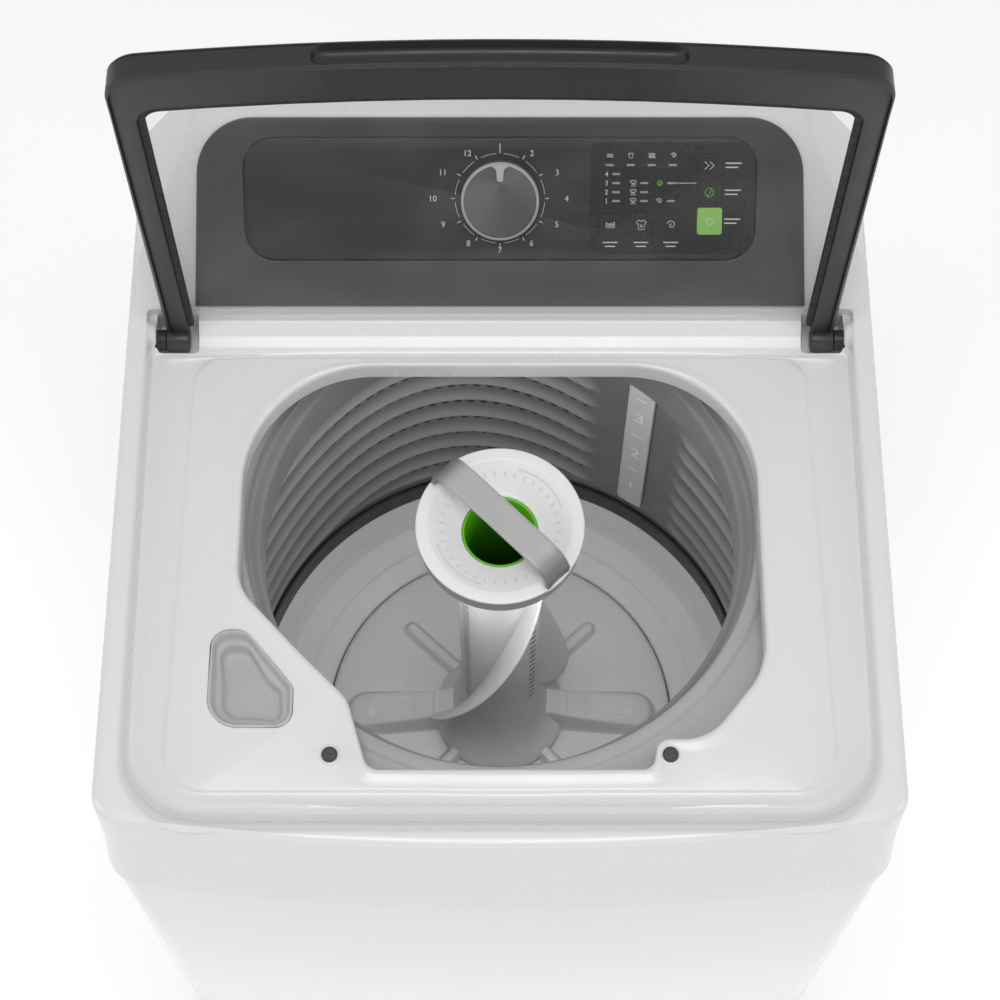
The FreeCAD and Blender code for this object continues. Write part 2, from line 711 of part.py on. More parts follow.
def knob():
    """The dial knob on its spindle, with the pointer tab that stands out of its rim."""
    low, high = "-panel_sunk + 0.5", "-panel_sunk + knob_height"
    corners = [("0", "-25"), ("3", "-25"), ("3", low), ("knob_radius", low),
               ("knob_radius", f"{high} - 4"), ("knob_radius - 4", high), ("0", high)]
    dial = turned("knob_dial", corners, "0", "dial_along")
    tab = box("knob_tab", ("-3.5", "3.5"), ("dial_along + knob_radius - 14",
                                            "dial_along + knob_radius - 1"),
              (f"{high} - 6", f"{high} + 1.5"))
    return on_console(fused("knob_moulding", dial, tab))


node(console_housing(), "console_housing")
node(console_fascia(), "console_fascia")
node(console_panel(), "console_panel")
node(on_console(group("light_set", [light(f"light_{i}", *spot) for i, spot in enumerate(LIGHTS)])),
     "status_lights")
node(control_board(), "control_board")
node(knob(), "knob")
for key_name, key_place in KEYS.items():
    node(button(key_name, key_place), key_name)

# ---------------------------------------------------------------- lid


def on_lid(item):
    """Set a piece on the open lid: Y from the hinge line to the front edge, Z out of its inner face."""
    item.Placement = Placement(Vector(), Rotation(Vector(1, 0, 0), 90 - size("lid_lean")))
    return place(item, "0", "hinge_y", HINGE_Z)


def bowed_plate(name, half, near, far, corner, low, high):
    """A plate of the closed lid's plan: straight sides, and a front that bows as the machine's,
    drawn as short straight runs."""
    def front(share):
        across = f"({share} * ({half}))"
        return across, f"{far} - {FRONT_RADIUS} + sqrt(({FRONT_RADIUS})^2 - {across}^2)"

    corners = [(f"-({half})", near), (half, near), (*front(1), corner)]
    corners += [front(fifths / 5) for fifths in range(4, -5, -1)]
    return prism(name, [*corners, (*front(-1), corner)], low, high)


def lid_frame():
    front_bar_inside = "lid_reach - front_bar - 30"
    side_view = [("0", "-lid_face - bar_thick"), (front_bar_inside, "-lid_face - bar_thick"),
                 (front_bar_inside, "-lid_face - lid_thick"), ("lid_reach", "-lid_face - lid_thick"),
                 ("lid_reach", "-lid_face"), ("0", "-lid_face")]
    block = side_prism("lid_block", side_view, "-lid_half", "lid_half")
    face = bowed_plate("lid_face_view", "lid_half", "-1", "lid_reach", "lid_corner", "-60", "20")
    inner = "lid_half - side_bar"
    window = bowed_plate("lid_window", inner, "-40", "lid_reach - front_bar", "window_corner",
                         "-60", "20")
    slot = glass_plate("lid_slot", "gap", "-lid_face - 8 - glass - gap", "-lid_face - 8 + gap")
    scoop = prism("lid_scoop", rectangle(("-139", "139"), ("lid_reach - 11", "lid_reach + 20"), "7"),
                  "-lid_face - 22", "-lid_face - 3")
    frame = cut("lid_bars", common("lid_rounded", block, face), window, slot, scoop)
    bosses = [lying(f"arm_boss_{side}", "hinge_boss", "X", near, far, "0", "0")
              for side, near, far in ((-1, "-lid_half", f"-({inner})"), (1, inner, "lid_half"))]
    bore = lying("arm_bore", "hinge_pin", "X", "-lid_half - 9", "lid_half + 9", "0", "0")
    return on_lid(cut("lid_frame_moulding", fused("lid_whole", frame, *bosses), bore))


def glass_plate(name, grow, low, high):
    """The lid's glass, which reaches into a slot all round the frame."""
    return bowed_plate(name, f"lid_half - side_bar + 5 + ({grow})", f"16 - ({grow})",
                       f"lid_reach - front_bar + 5 + ({grow})", "window_corner + 5", low, high)


def lid_gasket():
    """A thin dark strip round the frame's inner edge, over the glass."""
    inner = "lid_half - side_bar - gap"
    high = "lid_reach - front_bar - gap"
    outer = bowed_plate("gasket_outer", inner, "18", high, "window_corner",
                        "-lid_face - 8 + gap", "-lid_face - 2")
    hollow = bowed_plate("gasket_hollow", f"{inner} - 5", "-40", f"{high} - 5", "window_corner - 5",
                         "-40", "20")
    return on_lid(cut("gasket", outer, hollow))


node(lid_frame(), "lid_frame")
node(on_lid(glass_plate("glass_pane", "0", "-lid_face - 8 - glass", "-lid_face - 8")), "lid_glass")
node(lid_gasket(), "lid_gasket")
pins = [lying(f"pin_{side}", "hinge_pin", "X", *((f"lid_half - side_bar + 1", "recess_half + 5")
                                                 if side > 0 else
                                                 ("-recess_half - 5", "-lid_half + side_bar - 1")),
              "hinge_y", HINGE_Z) for side in (-1, 1)]
node(group("pin_set", pins), "lid_pins")

# ---------------------------------------------------------------- outer tub

TUB_OUT = "tub_radius + tub_wall"


def lug(name, sx, sy):
    """An arm of the outer tub that holds a suspension cup."""
    rod_x, rod_y = f"{sx} * rod_reach", f"{sy} * rod_reach"
    block = prism(name, [(f"{rod_x} + {sx} * 28", f"{rod_y} - {sy} * 28"),
                         (f"{rod_x} + {sx} * 28", f"{rod_y} + {sy} * 28"),
                         (f"{rod_x} - {sx} * 28", f"{rod_y} + {sy} * 28"),
                         (f"{rod_x} - {sx} * 50", f"{rod_y} - {sy} * 20"),
                         (f"{rod_x} - {sx} * 20", f"{rod_y} - {sy} * 50")],
                  "tub_low + 4", "tub_low + 34")
    hole = disc(name + "_hole", "cup_radius + gap", "tub_low - 9", "tub_low + 99", rod_x, rod_y)
    return cut(name + "_arm", block, hole)


def outer_tub():
    corners = [("45", "tub_low"), (TUB_OUT, "tub_low"), (TUB_OUT, "tub_high"),
               ("tub_radius", "tub_high"), ("tub_radius", "tub_low + 6"), ("45", "tub_low + 6")]
    shell = turned("tub_shell", corners)
    spout = disc("tub_spout", "17", "tub_low - 28", "tub_low + 1", "pump_x", "pump_y")
    whole = fused("tub_moulding", shell, spout, *at_corners("lug", lug))
    bore = disc("tub_spout_bore", "13", "tub_low - 40", "tub_low + 9", "pump_x", "pump_y")
    core = disc("tub_core", "tub_radius", "tub_low + 6", "tub_high + 9")
    return place(cut("tub", whole, bore, core), "0", "axis_y")


def tub_ring():
    """The ring that covers the gap between tub and basket."""
    top = "tub_high + 7"
    corners = [("cover_mouth", f"{top} - 9"), ("cover_mouth + 3", f"{top} - 9"),
               ("cover_mouth + 3", f"{top} - 3"), (f"{TUB_OUT} + gap", f"{top} - 3"),
               (f"{TUB_OUT} + gap", "tub_high - 18"), (f"{TUB_OUT} + 3", "tub_high - 18"),
               (f"{TUB_OUT} + 3", top), ("cover_mouth", top)]
    return turned("tub_ring_moulding", corners, "0", "axis_y")


node(outer_tub(), "outer_tub")
node(tub_ring(), "tub_ring")
node(ring("seal", "spin_radius + slip", "45 - gap", "tub_low", "tub_low + 10", "0", "axis_y"),
     "tub_seal")

# ---------------------------------------------------------------- basket


def drum_wall():
    """The perforated wall, shown plain, with the rolled edge at its foot."""
    outer = "drum_radius + drum_wall"
    return ring("drum", "drum_radius", outer, "drum_low", "drum_high", "0", "axis_y")


def basket_base():
    """The bowl under the wall, stepped down to the impeller's well."""
    corners = [("spin_radius + 1", "bowl_floor - 8"), ("bowl_radius + 3", "bowl_floor - 8"),
               ("bowl_radius + 3", "bowl_floor + 12"), ("242", "346"), ("261", "364"),
               ("drum_radius - gap", "366"), ("drum_radius - gap", "drum_low + 14"),
               ("drum_radius - 3", "drum_low + 14"), ("drum_radius - 3.5", "376"),
               ("257", "370"), ("239", "352"), ("bowl_radius + 2", "338"),
               ("bowl_radius", "336"), ("bowl_radius", "bowl_floor"),
               ("spin_radius + 1", "bowl_floor")]
    return turned("bowl", corners, "0", "axis_y")


def balance_ring():
    """The liquid-filled ring at the basket's mouth, with its stepped top."""
    outer = "drum_radius - gap"
    corners = [("ring_mouth", "drum_high - 46"), (outer, "drum_high - 46"),
               (outer, "drum_high + 16"), ("ring_mouth + 19", "drum_high + 20"),
               ("ring_mouth + 12", "drum_high + 12"), ("ring_mouth + 7", "drum_high + 10"),
               ("ring_mouth", "drum_high - 2")]
    return turned("balance", corners, "0", "axis_y")


def scale_strip():
    """The upright strip with fill marks on the back of the drum's wall."""
    strip = ring("strip_ring", "drum_radius - 4", "drum_radius - gap", "drum_low + 40",
                 "drum_high - 70")
    block = box("strip_block", ("-17", "17"), ("200", "300"), ("drum_low", "drum_high"))
    whole = common("strip", strip, block)
    whole.Placement = Placement(Vector(), Rotation(Vector(0, 0, 1), -33))
    return place(whole, "0", "axis_y")


def spin_tube():
    """The tube that turns the basket, with the flange that carries it."""
    inner = "shaft_radius + slip"
    corners = [(inner, "150"), ("spin_radius", "150"), ("spin_radius", "bowl_floor - 24"),
               ("56", "bowl_floor - 24"), ("56", "bowl_floor - 8"),
               ("spin_radius", "bowl_floor - 8"), ("spin_radius", "bowl_floor"),
               (inner, "bowl_floor")]
    return turned("spin", corners, "0", "axis_y")


node(drum_wall(), "drum_wall")
node(basket_base(), "basket_base")
node(balance_ring(), "balance_ring")
node(scale_strip(), "scale_strip")
node(spin_tube(), "spin_tube")

# ---------------------------------------------------------------- agitator


def impeller_plate():
    """The plate that turns in the basket's floor, with two large vanes and low ribs between."""
    plate = turned("impeller_disc", [
        ("shaft_radius", "bowl_floor + 4"), ("30", "bowl_floor + 4"), ("34", "bowl_floor + 10"),
        ("impeller_radius", "bowl_floor + 10"), ("impeller_radius", "impeller_rim"),
        ("impeller_radius - 8", "impeller_rim + 3"), ("110", "impeller_rim + 7"),
        ("60", "impeller_rim + 16"), ("shaft_radius", "impeller_rim + 16")])
    ribs = []
    for index in range(8):
        large = index % 4 == 0
        width = "24" if large else "9"
        crown = "52" if large else "15"
        reach = "impeller_radius - 18" if large else "impeller_radius - 42"
        rib = side_prism(f"rib_shape_{index}", [
            ("20", "impeller_rim"), (reach, "impeller_rim"),
            (f"{reach} - 8", f"impeller_rim + {crown} / 3"),
            ("96", f"impeller_rim + {crown} * 2 / 3 + 3"), ("50", f"impeller_rim + {crown} + 6"),
            ("20", f"impeller_rim + {crown} + 6")], f"-{width}", width)
        ribs.append(turned_copy(f"rib_{index}", rib, 45 * index + 90))
    whole = fused("impeller_whole", plate, *ribs)
    bore = disc("impeller_bore", "shaft_radius", "0", "900")
    seat = turned("impeller_seat", column_outline("gap"))
    return place(cut("impeller", whole, bore, seat), "0", "axis_y")


def column_outline(grow):
    """The agitator's column in section, from its flared foot to its collar."""
    return [("0", "impeller_rim + 17"), (f"70 + ({grow})", "impeller_rim + 17"),
            (f"70 + ({grow})", "impeller_rim + 22"), (f"54 + ({grow})", "impeller_rim + 44"),
            (f"44 + ({grow})", "impeller_rim + 80"),
            (f"column_radius + ({grow})", "impeller_rim + 130"),
            (f"column_radius + ({grow})", "column_high - 14"),
            (f"cap_radius - 2 + ({grow})", "column_high"),
            (f"cap_radius - 2 + ({grow})", "cap_high - 4"), ("0", "cap_high - 4")]


def fin(name, turn):
    """A broad fin that winds up the column, narrower towards the top."""
    steps = 7
    low, high = size("impeller_rim + 62"), size("column_high - 30")
    wide, slim = size("fin_reach"), size("column_radius + 6")
    sections = []
    for index in range(steps):
        share = index / (steps - 1)
        reach = wide + (slim - wide) * share ** 1.5
        root = size("column_bore") + 1
        section = Part.makePolygon([Vector(root, -3, 0), Vector(reach, -2, 0),
                                    Vector(reach, 2, 0), Vector(root, 3, 0), Vector(root, -3, 0)])
        section.Placement = Placement(Vector(0, 0, low + (high - low) * share),
                                      Rotation(Vector(0, 0, 1), turn + 130 * share))
        sections.append(section)
    solid = doc.addObject("Part::Feature", name)
    solid.Shape = Part.makeLoft(sections, True, False)
    return solid


def agitator_column():
    body = turned("column_body", column_outline("0"))
    foot_well = disc("column_well", "column_bore", "impeller_rim + 26", "column_high + 90")
    mouth = disc("column_mouth", "cap_radius - 12", "column_high + 4", "column_high + 90")
    bore = disc("column_bolt_hole", "6", "0", "900")
    whole = fused("column_whole", body, fin("fin_0", 20), fin("fin_1", 200))
    slots = []
    for side in (-1, 1):
        for index in range(9):
            slots.append(box(f"slot_{side}_{index}",
                             (("-60", "-30") if side < 0 else ("30", "60")),
                             ("-9", "9"), (f"{480 + 36 * index}", f"{486 + 36 * index}")))
    return place(cut("column", whole, foot_well, mouth, bore, *slots), "0", "axis_y")


def driven_pulley():
    """The large belt pulley on the agitator's shaft."""
    groove = "pulley_radius - groove_depth"
    corners = [("shaft_radius", "belt_low - 4"), ("18", "belt_low - 4"), ("18", "belt_low + 6"),
               (f"{groove} - 8", "belt_low + 6"), (f"{groove} - 8", "belt_low"),
               ("pulley_radius", "belt_low"), ("pulley_radius", "belt_low + 2"),
               (groove, "belt_low + 3"), (groove, "belt_high - 3"),
               ("pulley_radius", "belt_high - 2"), ("pulley_radius", "belt_high"),
               (f"{groove} - 8", "belt_high"), (f"{groove} - 8", "belt_high - 6"),
               ("18", "belt_high - 6"), ("18", "belt_high + 4"), ("shaft_radius", "belt_high + 4")]
    return turned("driven", corners, "0", "axis_y")


node(impeller_plate(), "impeller_plate")
node(agitator_column(), "agitator_column")
node(turned("bolt", [("0", "impeller_rim"), ("4", "impeller_rim"), ("4", "impeller_rim + 26"),
                     ("11", "impeller_rim + 26"), ("11", "impeller_rim + 34"),
                     ("0", "impeller_rim + 34")], "0", "axis_y"), "agitator_bolt")
shaft_bar = disc("shaft_bar", "shaft_radius", "belt_low - 8", "impeller_rim + 14")
shaft_bore = disc("shaft_bore", "4", "impeller_rim", "impeller_rim + 40")
node(place(cut("shaft", shaft_bar, shaft_bore), "0", "axis_y"), "drive_shaft")
node(driven_pulley(), "driven_pulley")

# ---------------------------------------------------------------- lift-out filter


def filter_cap():
    """The dished cap, with a notch at each end of the handle."""
    corners = [("34", "cap_high - 20"), ("cap_radius - 13", "cap_high - 3.7"),
               ("cap_radius", "cap_high - 3.7"), ("cap_radius", "cap_high - 1"),
               ("cap_radius - 2", "cap_high"), ("cap_radius - 12", "cap_high"),
               ("34", "cap_high - 16")]
    dish = turned("cap_dish", corners)
    notch = box("cap_notch", ("-handle_width / 2", "handle_width / 2"),
                ("cap_radius - 5", "cap_radius + 5"), ("cap_high - 9", "cap_high + 9"))
    notches = [turned_copy(f"cap_notch_{turn}", notch, turn) for turn in (45, 225)]
    return place(cut("cap", dish, *notches), "0", "axis_y")


def filter_handle():
    """The strap across the cap that the filter is lifted out by."""
    foot, top = "cap_high - 3.7", "cap_high + handle_rise"
    near, far = "cap_radius - 5", "cap_radius"
    corners = [(f"-({far})", foot), (f"-({near})", foot), (f"-({near})", f"{top} - 15"),
               (f"-({near}) + 16", f"{top} - 4"), (f"({near}) - 16", f"{top} - 4"),
               (near, f"{top} - 15"), (near, foot), (far, foot), (far, f"{top} - 13", "8"),
               (f"({near}) - 15", top, "20"), (f"-({near}) + 15", top, "20"),
               (f"-({far})", f"{top} - 13", "8")]
    strap = side_prism("strap", corners, "-handle_width / 2 + gap", "handle_width / 2 - gap")
    return turned_copy("handle_strap", strap, 45, "0", "axis_y")


def filter_cup():
    """The strainer cup that hangs from the cap down inside the column."""
    corners = [("0", "600"), ("33", "600"), ("33.7", "cap_high - 20"), ("34", "cap_high - 20"),
               ("34", "cap_high - 16"), ("31.7", "cap_high - 16"), ("31", "602"), ("0", "602")]
    return turned("cup", corners, "0", "axis_y")


node(filter_cap(), "filter_cap")
node(filter_handle(), "filter_handle")
node(filter_cup(), "filter_cup")

# ---------------------------------------------------------------- drive under the tub


def tub_support():
    """The steel cross that carries the drive, bolted under the tub."""
    across = box("support_x", ("-270", "270"), ("-32", "32"), ("tub_low - 22", "tub_low - 18"))
    along = box("support_y", ("-32", "32"), ("-270", "270"), ("tub_low - 22", "tub_low - 18"))
    posts = [box(f"support_post_{i}", (f"{x} - 14", f"{x} + 14"), (f"{y} - 30", f"{y} + 30"),
                 ("tub_low - 19", "tub_low")) for i, (x, y) in enumerate(
                     (("-255", "0"), ("255", "0"), ("0", "-240"), ("0", "240")))]
    pump_arm = box("support_pump", ("pump_x - 34", "pump_x + 34"), ("20", "pump_y - 24"),
                   ("tub_low - 22", "tub_low - 18"))
    drop = box("support_drop", ("pump_x - 34", "pump_x + 34"), ("pump_y - 48", "pump_y - 45"),
               ("150", "tub_low - 18"))
    hole = disc("support_hole", "bearing_radius + 9 + gap", "0", "900")
    whole = cut("support", fused("support_whole", across, along, pump_arm, drop, *posts), hole)
    return place(whole, "0", "axis_y")


def bearing_housing():
    """The cast housing for both bearings, with its flange under the tub's floor."""
    wall = "bearing_radius + 9"
    corners = [("bearing_radius - 4", "196"), (wall, "196"), (wall, "tub_low - 8"),
               ("95", "tub_low - 8"), ("95", "tub_low"), ("bearing_radius", "tub_low"),
               ("bearing_radius", "tub_low - 15"), ("bearing_radius - 4", "tub_low - 15"),
               ("bearing_radius - 4", "213"), ("bearing_radius", "213"), ("bearing_radius", "199"),
               ("bearing_radius - 4", "199")]
    return turned("housing", corners, "0", "axis_y")


def bearings():
    lower = ring("bearing_lower", "spin_radius + slip", "bearing_radius", "199.5", "212.5")
    upper = ring("bearing_upper", "spin_radius + slip", "bearing_radius", "tub_low - 14.5",
                 "tub_low - 1")
    return place(group("bearing_pair", [lower, upper]), "0", "axis_y")


def gearcase():
    """The clutch and gear casing under the bearings."""
    corners = [("shaft_radius + slip", "130"), ("50", "130"), ("68", "144"), ("68", "186"),
               ("52", "195.7"), ("spin_radius + 0.6", "195.7"), ("spin_radius + 0.6", "149"),
               ("shaft_radius + slip", "149")]
    return turned("gear_housing", corners, "0", "axis_y")


def motor():
    """The motor's casing with its end rings and the bracket up to the cross."""
    body = turned("motor_body", [("0", "128"), ("34", "128"), ("motor_radius - 4", "136"),
                                 ("motor_radius", "142"), ("motor_radius", "206"),
                                 ("motor_radius - 6", "214"), ("0", "214")])
    bracket = box("motor_bracket", ("-46", "40"), ("-28", "28"), ("212", "tub_low - 22"))
    bore = disc("motor_bore", "6 + slip", "100", "180")
    return place(cut("motor_whole", fused("motor_cased", body, bracket), bore), "motor_x", "axis_y")


def motor_pulley():
    groove = "motor_pulley_radius - groove_depth"
    return turned("small_pulley", [
        ("0", "belt_low - 3"), ("motor_pulley_radius", "belt_low"),
        ("motor_pulley_radius", "belt_low + 2"), (groove, "belt_low + 3"),
        (groove, "belt_high - 3"), ("motor_pulley_radius", "belt_high - 2"),
        ("motor_pulley_radius", "belt_high"), ("6", "belt_high + 2"), ("6", "178"), ("0", "178")],
        "motor_x", "axis_y")


def loop(large, small, distance):
    """The area inside a belt round two circles."""
    lean = math.acos((large - small) / distance)
    points = [Vector(large * math.cos(lean), large * math.sin(lean), 0),
              Vector(distance + small * math.cos(lean), small * math.sin(lean), 0)]
    mirrored = [Vector(point.x, -point.y, 0) for point in points]
    edges = [Part.LineSegment(points[0], points[1]),
             Part.Arc(points[1], Vector(distance + small, 0, 0), mirrored[1]),
             Part.LineSegment(mirrored[1], mirrored[0]),
             Part.Arc(mirrored[0], Vector(-large, 0, 0), points[0])]
    return Part.Face(Part.Wire([edge.toShape() for edge in edges]))


def drive_belt():
    """The belt, which lies in both grooves."""
    depth, gap = size("groove_depth"), size("gap")
    large = size("pulley_radius") - depth + gap
    small = size("motor_pulley_radius") - depth + gap
    reach = size("motor_x")
    low, high = size("belt_low + 3.6"), size("belt_high - 3.6")
    area = loop(large + depth - 1, small + depth - 1, reach).cut(loop(large, small, reach))
    area.translate(Vector(0, 0, low))
    belt = doc.addObject("Part::Feature", "belt")
    belt.Shape = area.extrude(Vector(0, 0, high - low))
    return place(belt, "0", "axis_y")


def drain_pump():
    """The pump's motor, its chamber and its two stubs."""
    casing = turned("pump_casing", [("0", "95"), ("26", "95"), ("30", "100"), ("30", "150"),
                                    ("42", "150"), ("42", "190"), ("17", "190"), ("17", "212"),
                                    ("0", "212")])
    outlet = lying("pump_outlet", "hose_bore", "Y", "20", "62", "0", "170")
    chamber = disc("pump_chamber", "33", "155", "185")
    mouth = disc("pump_mouth", "13", "180", "220")
    way_out = lying("pump_way_out", "hose_bore - 3", "Y", "10", "70", "0", "170")
    bore = disc("pump_bore", "3 + slip", "128", "160")
    whole = cut("pump", fused("pump_whole", casing, outlet), chamber, mouth, way_out, bore)
    return place(whole, "pump_x", "axis_y + pump_y")


def pump_impeller():
    """The pump's four-bladed impeller on its spindle."""
    hub = turned("blade_hub", [("0", "130"), ("3", "130"), ("3", "158"), ("7", "158"),
                               ("7", "176"), ("0", "176")])
    blades = [turned_copy(f"blade_{turn}", box(f"blade_plate_{turn}", ("5", "29"), ("-1.2", "1.2"),
                                               ("160", "175")), turn) for turn in range(0, 360, 90)]
    return place(fused("blades", hub, *blades), "pump_x", "axis_y + pump_y")


node(tub_support(), "tub_support")
node(bearing_housing(), "bearing_housing")
node(bearings(), "bearings")
node(gearcase(), "gearcase")
node(motor(), "motor")
node(motor_pulley(), "motor_pulley")
node(drive_belt(), "drive_belt")
node(drain_pump(), "drain_pump")
node(pump_impeller(), "pump_impeller")
node(ring("bellows", "17", "20.5", "196", "tub_low - 8", "pump_x", "axis_y + pump_y"), "sump_hose")

# ---------------------------------------------------------------- suspension


def rod(name, sx, sy):
    """A rod that hangs from its gusset by a ball, with a plate at its foot for the spring."""
    corners = [("0", "rod_low"), ("19", "rod_low"), ("19", "rod_low + 6"),
               ("rod_radius", "rod_low + 6"), ("rod_radius", "gusset_height"),
               ("12", "gusset_height"), ("8", "gusset_height + 10"), ("0", "gusset_height + 12")]
    return turned(name, corners, *rod_spot(sx, sy))


def cup(name, sx, sy):
    """The cup in the tub's lug that sits on the spring."""
    corners = [("rod_radius + 1", "tub_low + 30"), ("18.5", "tub_low + 30"), ("18.5", "tub_low + 2"),
               ("cup_radius", "tub_low + 2"), ("cup_radius", "tub_low + 34"),
               ("rod_radius + 1", "tub_low + 38")]
    return turned(name, corners, *rod_spot(sx, sy))


def spring(name, sx, sy):
    """A coil spring round a rod, from the rod's plate up into the cup."""
    wire, coil = 2.2, 13.0
    low, high = size("rod_low + 6") + wire, size("tub_low + 30") - wire
    turns = 7
    path = Part.makeHelix((high - low) / turns, high - low, coil)
    profile = Part.Wire(Part.makeCircle(wire, Vector(coil, 0, 0), Vector(0, 1, 0)))
    solid = doc.addObject("Part::Feature", name)
    solid.Shape = Part.Wire(path).makePipeShell([profile], True, True)
    x, y = rod_spot(sx, sy)
    return place(solid, x, y, f"{low}")


node(group("rods", at_corners("rod", rod)), "suspension_rods")
node(group("cups", at_corners("cup", cup)), "suspension_cups")
node(group("springs", at_corners("spring", spring)), "suspension_springs")

# ---------------------------------------------------------------- water in and out


def inlet_valve():
    """The solenoid valve inside the back of the top cover and the stub that reaches out of it."""
    body = box("valve_body", ("inlet_x - 17", "inlet_x + 17"), ("body_back - 38", "body_back - 6"),
               ("inlet_z - 15", "inlet_z + 15"))
    coil = lying("valve_coil", "13", "X", "inlet_x + 10", "inlet_x + 48", "body_back - 22",
                 "inlet_z")
    stub = lying("valve_stub", "inlet_radius", "Y", "body_back - 8", "rear_reach", "inlet_x",
                 "inlet_z")
    collar = lying("valve_collar", "inlet_radius + 4", "Y", "body_back - 8", "body_back + 1.5",
                   "inlet_x", "inlet_z")
    way = lying("valve_way", "inlet_radius - 4", "Y", "body_back - 30", "rear_reach + 9", "inlet_x",
                "inlet_z")
    return cut("valve", fused("valve_whole", body, coil, stub, collar), way)


def fill_nozzle():
    """The duct that leads water forward from the valve and pours it behind the opening's edge."""
    duct = box("duct", ("inlet_x - 14", "inlet_x + 14"), ("opening_back + 6", "body_back - 38"),
               ("inlet_z - 3", "inlet_z + 12"))
    way = box("duct_way", ("inlet_x - 12", "inlet_x + 12"), ("opening_back + 8", "body_back - 30"),
              ("inlet_z - 1", "inlet_z + 10"))
    mouth = box("duct_mouth", ("inlet_x - 10", "inlet_x + 10"),
                ("opening_back + 8", "opening_back + 26"), ("inlet_z - 9", "inlet_z + 1"))
    return cut("duct_moulding", duct, way, mouth)


def drain_outlet():
    """The stub in the rear panel that the drain hose ends in, barbed for a hose outside."""
    flange = lying("drain_flange", "22", "Y", "body_back + sheet", "body_back + sheet + 3",
                   "drain_x", "drain_z")
    stub = lying("drain_stub", "hose_bore + 1", "Y", "body_back - 15", "rear_reach", "drain_x",
                 "drain_z")
    way = lying("drain_way", "hose_bore - 2", "Y", "body_back - 40", "rear_reach + 9", "drain_x",
                "drain_z")
    return cut("drain", fused("drain_whole", flange, stub), way)


def cord_gland():
    """The grommet for the mains lead."""
    flange = lying("gland_flange", "13", "Y", "body_back + sheet", "body_back + sheet + 3", "250",
                   "140")
    neck = lying("gland_neck", "8.7", "Y", "body_back - 6", "rear_reach - 1", "250", "140")
    way = lying("gland_way", "4", "Y", "body_back - 40", "rear_reach + 9", "250", "140")
    return cut("gland", fused("gland_whole", flange, neck), way)


def pressure_switch():
    """The water level switch on the back wall, with its hose stub."""
    body = lying("switch_body", "24", "Y", "body_back - 26", "body_back - sheet", "-120", "805")
    stub = disc("switch_stub", "4", "770", "785", "-120", "body_back - 14")
    return fused("switch", body, stub)


def drain_hose():
    """The hose from the pump back and up to the stub in the rear panel."""
    pump_x, pump_y = size("pump_x"), size("axis_y + pump_y")
    back = size("body_back")
    out_x, out_z = size("drain_x"), size("drain_z")
    route = [Vector(pump_x, pump_y + 46, 170), Vector(pump_x, pump_y + 110, 170),
             Vector(pump_x - 8, pump_y + 167, 190), Vector(out_x + 10, back - 33, 240),
             Vector(out_x, back - 30, 320), Vector(out_x - 1, back - 29, 500),
             Vector(out_x + 1, back - 33, out_z - 120), Vector(out_x, back - 63, out_z - 55),
             Vector(out_x, back - 65, out_z - 10), Vector(out_x, back - 43, out_z),
             Vector(out_x, back - 2, out_z)]
    spine = hose_spine(route)
    hose = doc.addObject("Part::Feature", "hose")
    hose.Shape = swept(spine, size("hose_radius")).cut(swept(spine, size("hose_bore + gap + 1")))
    return hose


def hose_spine(route):
    """Straight runs joined by tangent arcs as large as the runs allow."""
    edges, here = [], route[0]
    for before, corner, after in zip(route, route[1:], route[2:]):
        back, ahead = (before - corner), (after - corner)
        reach = 0.45 * min(back.Length, ahead.Length)
        back.normalize()
        ahead.normalize()
        half = back.getAngle(ahead) / 2
        radius = reach * math.tan(half)
        if math.pi / 2 - half < 0.01:
            continue
        middle = corner + (back + ahead).normalize() * (radius / math.sin(half) - radius)
        start, stop = corner + back * reach, corner + ahead * reach
        edges.append(Part.LineSegment(here, start).toShape())
        edges.append(Part.Arc(start, middle, stop).toShape())
        here = stop
    edges.append(Part.LineSegment(here, route[-1]).toShape())
    return Part.Wire(edges)


def swept(spine, radius):
    """A round bar along a spine."""
    start = spine.Edges[0]
    point = start.valueAt(start.FirstParameter)
    profile = Part.Wire(Part.makeCircle(radius, point, start.tangentAt(start.FirstParameter)))
    return spine.makePipeShell([profile], True, False)


node(inlet_valve(), "inlet_valve")
node(fill_nozzle(), "fill_nozzle")
node(drain_outlet(), "drain_outlet")
node(cord_gland(), "cord_gland")
node(pressure_switch(), "pressure_switch")
node(drain_hose(), "drain_hose")

# ---------------------------------------------------------------- check and write

doc.recompute()
for item in doc.Objects:
    if {"Invalid", "Error"} & set(item.State):
        raise SystemExit(f"{item.Name} failed: {item.State}")
os.makedirs("parts", exist_ok=True)
for name, item in NODES.items():
    shape = item.Shape
    if shape.isNull() or not shape.isValid() or not shape.Solids:
        raise SystemExit(f"{name} has no valid solid")
    shape.exportStep(f"parts/{name}.step")
    print(f"{name}: {len(shape.Solids)} solid(s), {shape.Volume / 1000:.0f} cm3")
print(len(NODES), "sub-parts")
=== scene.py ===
# %% [markdown]
# A top load washing machine, dressed for a studio. The CAD frame already holds every part at its
# true size and on its true joint. This lesson adds what the frame leaves out: rounded edges,
# pressed ribs, printed marks and the finish of each material. Lengths are written in millimetres,
# as on a drawing, and turned into metres only when a mesh is made.

